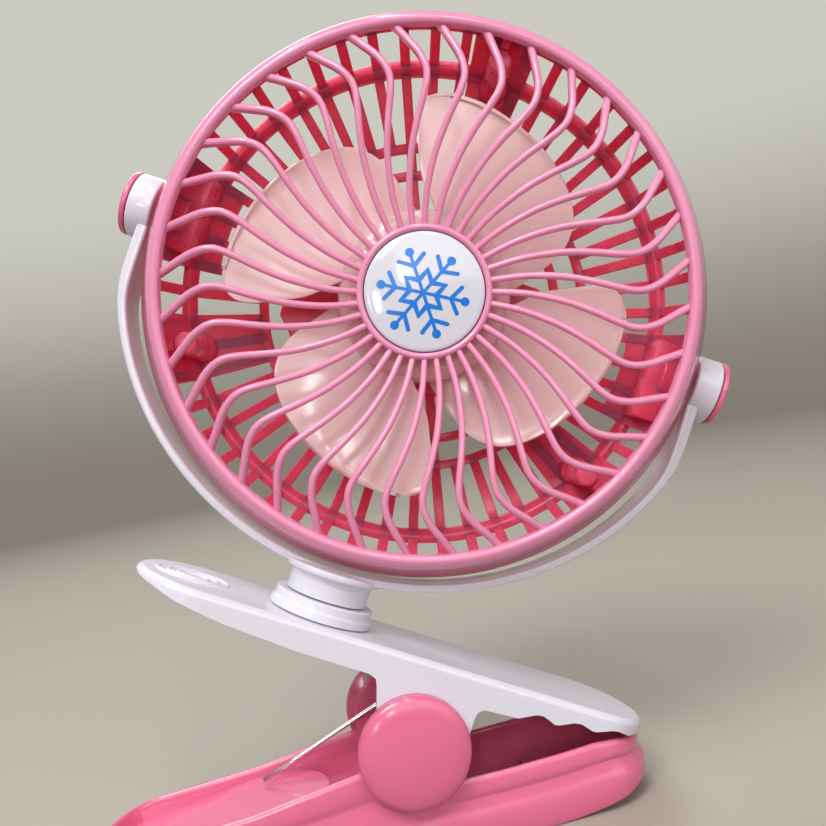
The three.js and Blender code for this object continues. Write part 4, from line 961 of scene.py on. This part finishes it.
def buildUpperJaw():
    u = upper
    shell = plate(upperPlan(0), u["top"] - 40, u["top"], axis="Z")
    topEdges = [e for e in shell.edges if all(abs(v.co.z - u["top"]) < 0.01 for v in e.verts)]
    roundEdges(shell, topEdges, u["topRounding"], 6)
    side = plate(upperSide(), -u["half"] - 1, u["half"] + 1)
    room = plate(upperPlan(u["wall"]), u["top"] - 41, u["under"], axis="Z")
    roomTop = [e for e in room.edges if all(abs(v.co.z - u["under"]) < 0.01 for v in e.verts)]
    roundEdges(room, roomTop, 0.8, 3)
    swivelBore = turned([(0, u["under"] - 1), (6.3, u["under"] - 1), (6.3, u["top"] + 1), (0, u["top"] + 1)],
                        axis="Z", steps=48)
    body = combined(combined(shell, side, "INTERSECT"), merged([room, pinBore(u["pin"], 22), swivelBore]))
    parts = [body]
    for i in range(3):
        x = u["firstTooth"] + i * (u["lastTooth"] - u["firstTooth"]) / 3
        bar = plate([(x - 1, toothLine(x) + 0.6), (x + 1, toothLine(x) + 0.9), (x + 1, u["under"] + 0.5),
                     (x - 1, u["under"] + 0.5)], -u["half"] + 1, u["half"] - 1, rounding=0.3)
        parts.append(bar)
    finished("upper_jaw_moulding", merged(parts), upperFrame, whiteAbs, "upper_jaw", ["upper_jaw"],
             bevel=0.45)
    finished("upper_jaw_grip_ridges", merged(gripPad()), upperFrame, whiteAbs, "upper_jaw", sharp=50)


# Lower jaw
lower = {"half": 20.0, "end": 80.0, "endRound": 16.0, "pin": (10.4, 29.9), "notch": 12.7,
         "rimStops": [(-80, 16.6), (-77, 18.5), (-57, 19.8), (-35, 21.5), (-18, 24.1), (-3.6, 26.4), (4.4, 27),
                      (16.4, 19.6), (22, 17.9), (34, 18), (52, 18.8), (62, 19.6), (67, 19.2), (72, 17.8),
                      (77, 16.4), (80, 15.6)], "hullFrom": 46, "hullRise": 6.0,
         "pitFloor": [(2, 15), (-36, 12), (-36, 10), (2, 13)], "noseFrom": -28, "noseReach": 17,
         "plateau": [(-10, 18.9), (-34, 18.8), (-78, 13.2), (-78, 8), (-30, 8), (-10, 13)]}


def rimHeight(x):
    stops = lower["rimStops"]
    for (x0, z0), (x1, z1) in zip(stops, stops[1:]):
        if x <= x1:
            height = z0 + (z1 - z0) * max(0, x - x0) / (x1 - x0)
            break
    else:
        height = stops[-1][1]
    px, pz = lower["pin"]
    off = abs(x - px)
    if off < lower["notch"]:
        height = min(height, pz - math.sqrt(lower["notch"] ** 2 - off ** 2))
    return height


def hullHeight(x):      # the underside curves up under the nose
    l = lower
    return l["hullRise"] * max(0, (x - l["hullFrom"]) / (l["end"] - l["hullFrom"])) ** 1.7


def lowerPlan(inset):
    l = lower
    half, end, corner = l["half"] - inset, l["end"] - inset, l["endRound"] - inset
    straight = 46
    near = [(-end + corner + (2 * (end - corner)) * i / straight, -half) for i in range(1, straight)]
    far = [(-x, half) for x, _ in near]
    return near + arc((end - corner, 0), (corner, half), -90, 90, 36) + far \
        + arc((-end + corner, 0), (corner, half), 90, 270, 36)


# The wall is drawn up level by level from the base: bumper, waist, rim band, then down inside to the floor
def lowerShell():
    levels = [(1.1, "z", 0), (0.35, "z", 0.25), (0, "z", 1), (0, "rim", 0.36), (0.25, "rim", 0.44), (0.8, "rim", 0.5),
              (1.5, "rim", 0.66), (1.55, "rim", 0.69), (1.15, "rim", 0.72), (1.0, "rim", 0.8), (1.1, "rim", 0.9),
              (1.4, "rim", 0.97), (1.9, "rim", 1), (2.6, "rim", 1), (3.1, "rim", 0.97), (3.2, "rim", 0.9),
              (3.4, "z", 3.0), (4.0, "z", 2.1)]
    bm = bmesh.new()

    def spot(inset, kind, level, index):
        x, y = lowerPlan(inset)[index]
        hull = hullHeight(x)
        return Vector((x, y, hull + (level if kind == "z" else (rimHeight(x) - hull) * level)))

    count = len(lowerPlan(0))
    loops = [[spot(inset, kind, level, i) for i in range(count)] for inset, kind, level in levels]
    ring = [bm.verts.new(place) for place in loops[0]]
    edges = [bm.edges.new((ring[i - 1], ring[i])) for i in range(count)]
    bmesh.ops.contextual_create(bm, geom=edges)
    for places in loops[1:]:
        made = bmesh.ops.extrude_edge_only(bm, edges=edges)["geom"]
        fresh = set(vertsIn(made))
        above = {edge.other_vert(vert): vert for vert in fresh for edge in vert.link_edges}
        ring = [above[vert] for vert in ring]
        for vert, place in zip(ring, places):
            vert.co = place
        edges = edgesAmong(made, fresh)
    bmesh.ops.contextual_create(bm, geom=edges)
    bmesh.ops.recalc_face_normals(bm, faces=bm.faces[:])
    return bm


def pinLug(side):
    px, pz = lower["pin"]
    outline = [(px + 13, 1)] + arc((px, pz), 13.4, -14.4, 194.4, 56) + [(px - 13, 1)]
    low, high = sorted((side * 17.5, side * 14.9))
    return combined(plate(outline, low, high, rounding=0.7), pinBore(lower["pin"], 30))


def insidePlan():
    return plate(lowerPlan(2.6), 0.4, 60, axis="Z")


def buildLowerJaw():
    l = lower
    floor = combined(plate(l["pitFloor"], -l["half"], l["half"]), insidePlan(), "INTERSECT")
    nose = [(-90, -25), (l["noseFrom"], -25), *arc((l["noseFrom"] - 3, 0), (l["noseReach"], 17.6), -90, 90, 24),
            (l["noseFrom"], 25), (-90, 25)]
    plateau = combined(plate(l["plateau"], -l["half"], l["half"]), insidePlan(), "INTERSECT")
    plateau = combined(plateau, plate(nose, 0, 60, axis="Z"), "INTERSECT")
    roundEdges(plateau, [e for e in plateau.edges if e.calc_face_angle(0) > 0.5
                         and e.calc_length() < 4 and all(v.co.x > -32 and v.co.z > 17 for v in e.verts)], 0.5, 3)
    rib = plate([(46.1, 1), (47.5, 1), (47.5, 6.3), (46.1, 6.3)], -17.5, 17.5, rounding=0.25)
    parts = [lowerShell(), floor, plateau, rib, pinLug(-1), pinLug(1)]
    for side in (-1, 1):      # a ledge that tapers off along each wall
        ledge = plate([(-74, side * 17.8), (-74, side * 14.2), (-32, side * 17.8)], 12.5, 22, axis="Z")
        slope = plate([(-76, 11), (-30, 16), (-30, 18.6), (-76, 17.2)], -20, 20)
        parts.append(combined(ledge, slope, "INTERSECT"))
    finished("lower_jaw_moulding", merged(parts), baseFrame, clipPinkAbs, "lower_jaw", ["lower_jaw"],
             sharp=42)


# Caps on the pin, the pin and the spring
capDome = {"radius": 15.6, "rim": 2.2, "height": 5.6, "face": 20.3}


def buildEarCaps():
    c = capDome
    px, pz = lower["pin"]
    for name, side in (("near", -1), ("far", 1)):
        crown = arc((0, c["face"] + c["rim"]), (c["radius"], c["height"] - c["rim"]), 6, 84, 13)
        outline = [(2.3, c["face"] + 3.2), (2.3, c["face"]), (c["radius"] - 0.3, c["face"]),
                   (c["radius"], c["face"] + 0.3), (c["radius"], c["face"] + c["rim"])] + crown \
            + [(0, c["face"] + c["height"]), (0, c["face"] + 3.2)]
        cap = turned(outline, steps=96)
        matrix = Matrix.Translation((px, 0, pz)) @ (Matrix.Identity(4) if side > 0 else mirrorY)
        moved = copied(cap, matrix)
        cap.free()
        finished(f"ear_cap_{name}_dome", moved, baseFrame, clipPinkAbs, "lower_jaw", [f"ear_cap_{name}"],
                 sharp=50)
    pin = turned([(0, -23.4), (1.6, -23.4), (2, -23), (2, 23), (1.6, 23.4), (0, 23.4)], steps=32)
    shifted(pin, px, 0, pz)
    finished("clip_pin_turned", pin, baseFrame, zincSteel, "lower_jaw", ["clip_pin"])


spring = {"turns": 8, "radius": 7.2, "pitch": 2.35, "wire": 0.7, "lowerLeg": 202, "lowerLength": 43.9,
          "upperLeg": 100, "lean": 28.3}


def springRoute():
    s = spring
    px, pz = lower["pin"]
    half = s["turns"] * s["pitch"] / 2
    lowerLeg, upperLeg = s["lowerLeg"], s["upperLeg"] - s["lean"]
    rise = 24.2 - 2.5 - s["wire"] - 0.3 - s["radius"] * math.cos(s["upperLeg"] * degree)
    upperLength = rise / math.sin(s["upperLeg"] * degree)
    start, end = lowerLeg - 90, upperLeg + 90 - 360 * s["turns"]

    def onCoil(angle, y):
        return Vector((px + s["radius"] * math.cos(angle * degree), y, pz + s["radius"] * math.sin(angle * degree)))

    def along(angle):
        return Vector((math.cos(angle * degree), 0, math.sin(angle * degree)))

    steps = s["turns"] * 28
    route = [onCoil(start, half) + along(lowerLeg) * s["lowerLength"] * part for part in (1, 0.75, 0.5, 0.25, 0.08)]
    route += [onCoil(start + (end - start) * i / steps, half - 2 * half * i / steps) for i in range(steps + 1)]
    route += [onCoil(end, -half) + along(upperLeg) * upperLength * part for part in (0.08, 0.25, 0.5, 0.75, 1)]
    return route, half


def buildSpring():
    route, half = springRoute()
    section = arc((0, 0), spring["wire"], 0, 324, 9)
    stations = []
    for i, place in enumerate(route):
        ahead = route[min(i + 1, len(route) - 1)] - route[max(i - 1, 0)]
        stations.append(station(place, ahead, (0, 1, 0)))
    wire = placed("torsion_spring_wire", swept(section, stations), baseFrame, springWire)
    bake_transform(wire)
    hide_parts("torsion_spring")


for stage, builders in (
        ("front guard and badge", (buildFrontGuard, buildBadge, buildSnowflake)),
        ("impeller", (buildImpeller,)),
        ("rear guard and pod", (buildRearGuard, buildPodCover, buildScrews, buildControls)),
        ("yoke and collar", (buildYoke, buildCollar)),
        ("clip", (buildUpperJaw, buildLowerJaw, buildEarCaps, buildSpring))):
    for builder in builders:
        builder()
    print(stage, "built")

# CAD nodes that stay, in their own finishes
keptNodes = {"motor_body": nickelSteel, "motor_shaft": nickelSteel, "battery_cell": shrinkSleeve,
             "battery_contact_left": nickelSteel, "battery_contact_right": nickelSteel, "circuit_board": boardMask,
             "motor_screw_1": zincSteel, "motor_screw_2": zincSteel, "pivot_screw_left": zincSteel,
             "pivot_screw_right": zincSteel, "pivot_washer_left": blackRubber, "pivot_washer_right": blackRubber,
             "swivel_screw": zincSteel, "swivel_washer": zincSteel}
for node, material in keptNodes.items():
    materials = frame["nodes"][node].data.materials
    materials.clear()
    materials.append(material)

# Camera: where the photograph was taken from, in the head's own frame
shot = {"from": (7.6, -272.0, -33.4), "roll": 18.2, "pixels": 826, "focalPixels": 910, "sensorMm": 36}
cameraData = bpy.data.cameras.new("photo_camera")
camera = bpy.data.objects.new("photo_camera", cameraData)
bpy.context.scene.collection.objects.link(camera)
bpy.context.scene.camera = camera
cameraData.sensor_width = shot["sensorMm"]
cameraData.lens = shot["focalPixels"] / shot["pixels"] * shot["sensorMm"]
cameraData.clip_start = 0.01
headTurn = (headFrame @ Matrix.Scale(1 / mm, 4)).to_3x3()
roll = shot["roll"] * degree
right = headTurn @ Vector((math.cos(roll), 0, math.sin(roll)))
forward = headTurn @ Vector((0, 1, 0))
above = right.cross(forward)
lookTurn = Matrix((right, above, -forward)).transposed().to_4x4()
camera.matrix_world = Matrix.Translation(headFrame @ Vector(shot["from"])) @ lookTurn

# Pale floor that curves up into a backdrop all round
stage = {"floorRadius": 1.5, "cove": 0.5, "height": 1.6, "tone": "#AAA398", "toneShift": "#B2ABA0",
         "wall": "#CBCAC1", "wallFrom": 0.02, "wallTo": 0.75, "bounce": "#8A7A74"}
coveArc = [(stage["floorRadius"] + stage["cove"] * math.sin(a * degree), stage["cove"] * (1 - math.cos(a * degree)))
           for a in range(0, 91, 6)]
bm = bmesh.new()
line = [bm.verts.new((r, 0, z)) for r, z in [(0, 0), *coveArc, (stage["floorRadius"] + stage["cove"], stage["height"])]]
for first, second in zip(line, line[1:]):
    bm.edges.new((first, second))
bmesh.ops.spin(bm, geom=bm.verts[:] + bm.edges[:], cent=(0, 0, 0), axis=(0, 0, 1), angle=2 * math.pi, steps=96,
               use_merge=True)
bmesh.ops.remove_doubles(bm, verts=bm.verts[:], dist=1e-6)
bmesh.ops.recalc_face_normals(bm, faces=bm.faces[:])
bmesh.ops.reverse_faces(bm, faces=bm.faces[:])      # the painted side faces the fan
floorPaint, tree, shader = newMaterial("pale_stage_paint", {"Roughness": 0.6})
place = addNode(tree, "ShaderNodeTexCoord").outputs["Object"]
cloud = addNode(tree, "ShaderNodeTexNoise", {"Scale": perMetre(260), "Detail": 3}, {"Vector": place})
shown = twoTone(tree, cloud.outputs["Fac"], stage["tone"], stage["toneShift"])
ray = addNode(tree, "ShaderNodeLightPath").outputs      # the pale tone is for the eye and for reflections
mirrored = addNode(tree, "ShaderNodeMath", {"operation": "MAXIMUM"},
                   {0: ray["Is Glossy Ray"], 1: ray["Is Transmission Ray"]}).outputs[0]
seen = addNode(tree, "ShaderNodeMath", {"operation": "MAXIMUM"}, {0: ray["Is Camera Ray"], 1: mirrored}).outputs[0]
paint = addNode(tree, "ShaderNodeMix", {"data_type": "RGBA", 6: linearColour(stage["bounce"])}, {0: seen, 7: shown})
tree.links.new(paint.outputs[2], shader.inputs["Base Color"])
height = addNode(tree, "ShaderNodeSeparateXYZ", links={"Vector": place}).outputs["Z"]
rise = addNode(tree, "ShaderNodeMapRange", {"interpolation_type": "SMOOTHSTEP", "From Min": stage["wallFrom"],
               "From Max": stage["wallTo"]}, {"Value": height}).outputs["Result"]
shownRise = addNode(tree, "ShaderNodeMath", {"operation": "MULTIPLY"}, {0: rise, 1: seen}).outputs[0]
glow = addNode(tree, "ShaderNodeEmission", {"Color": linearColour(stage["wall"])})      # the wall's own tone
both = addNode(tree, "ShaderNodeMixShader", links={0: shownRise, 1: shader.outputs[0], 2: glow.outputs[0]})
tree.links.new(both.outputs[0], tree.nodes["Material Output"].inputs["Surface"])
placed("studio_cove", bm, Matrix.Identity(4), floorPaint)


# Lights: soft boxes all round, two long tubes overhead and two window panes
def addLight(name, place, aim, size, power):
    data = bpy.data.lights.new(name, "AREA")
    data.shape = "RECTANGLE"
    data.size, data.size_y = size
    data.energy = power
    lamp = bpy.data.objects.new(name, data)
    bpy.context.scene.collection.objects.link(lamp)
    lamp.location = place
    lamp.rotation_mode = "QUATERNION"
    lamp.rotation_quaternion = (Vector(aim) - Vector(place)).to_track_quat("-Z", "Y")


focus = (0.03, 0, 0.13)
addLight("key_softbox", (-0.5, -0.9, 1.25), focus, (0.7, 0.55), 12)
addLight("front_softbox", (0.25, -1.45, 0.85), focus, (1.3, 0.9), 5.5)
addLight("fill_softbox", (0.9, -0.9, 0.5), focus, (0.9, 0.9), 2.6)
addLight("back_softbox", (-0.2, 0.9, 1.2), focus, (0.9, 0.6), 9)
for i, x in enumerate((-0.42, 0.1)):
    addLight(f"tube_{i + 1}", (x, -0.55, 1.05), (x * 0.3, 0, 0.15), (0.05, 0.9), 2.2)
for i, place in enumerate(((-0.62, -1.28, 0.32), (-0.3, -1.42, 0.6))):      # small panes that glint on the domes
    addLight(f"window_{i + 1}", place, focus, (0.1, 0.2), 1.2)

world = bpy.data.worlds.new("soft_room")
world.use_nodes = True
bpy.context.scene.world = world
world.node_tree.nodes["Background"].inputs["Color"].default_value = linearColour("#F4F4F6")
world.node_tree.nodes["Background"].inputs["Strength"].default_value = 0.3
bpy.context.scene.view_settings.view_transform = "Standard"
print("stage, lights and camera set")
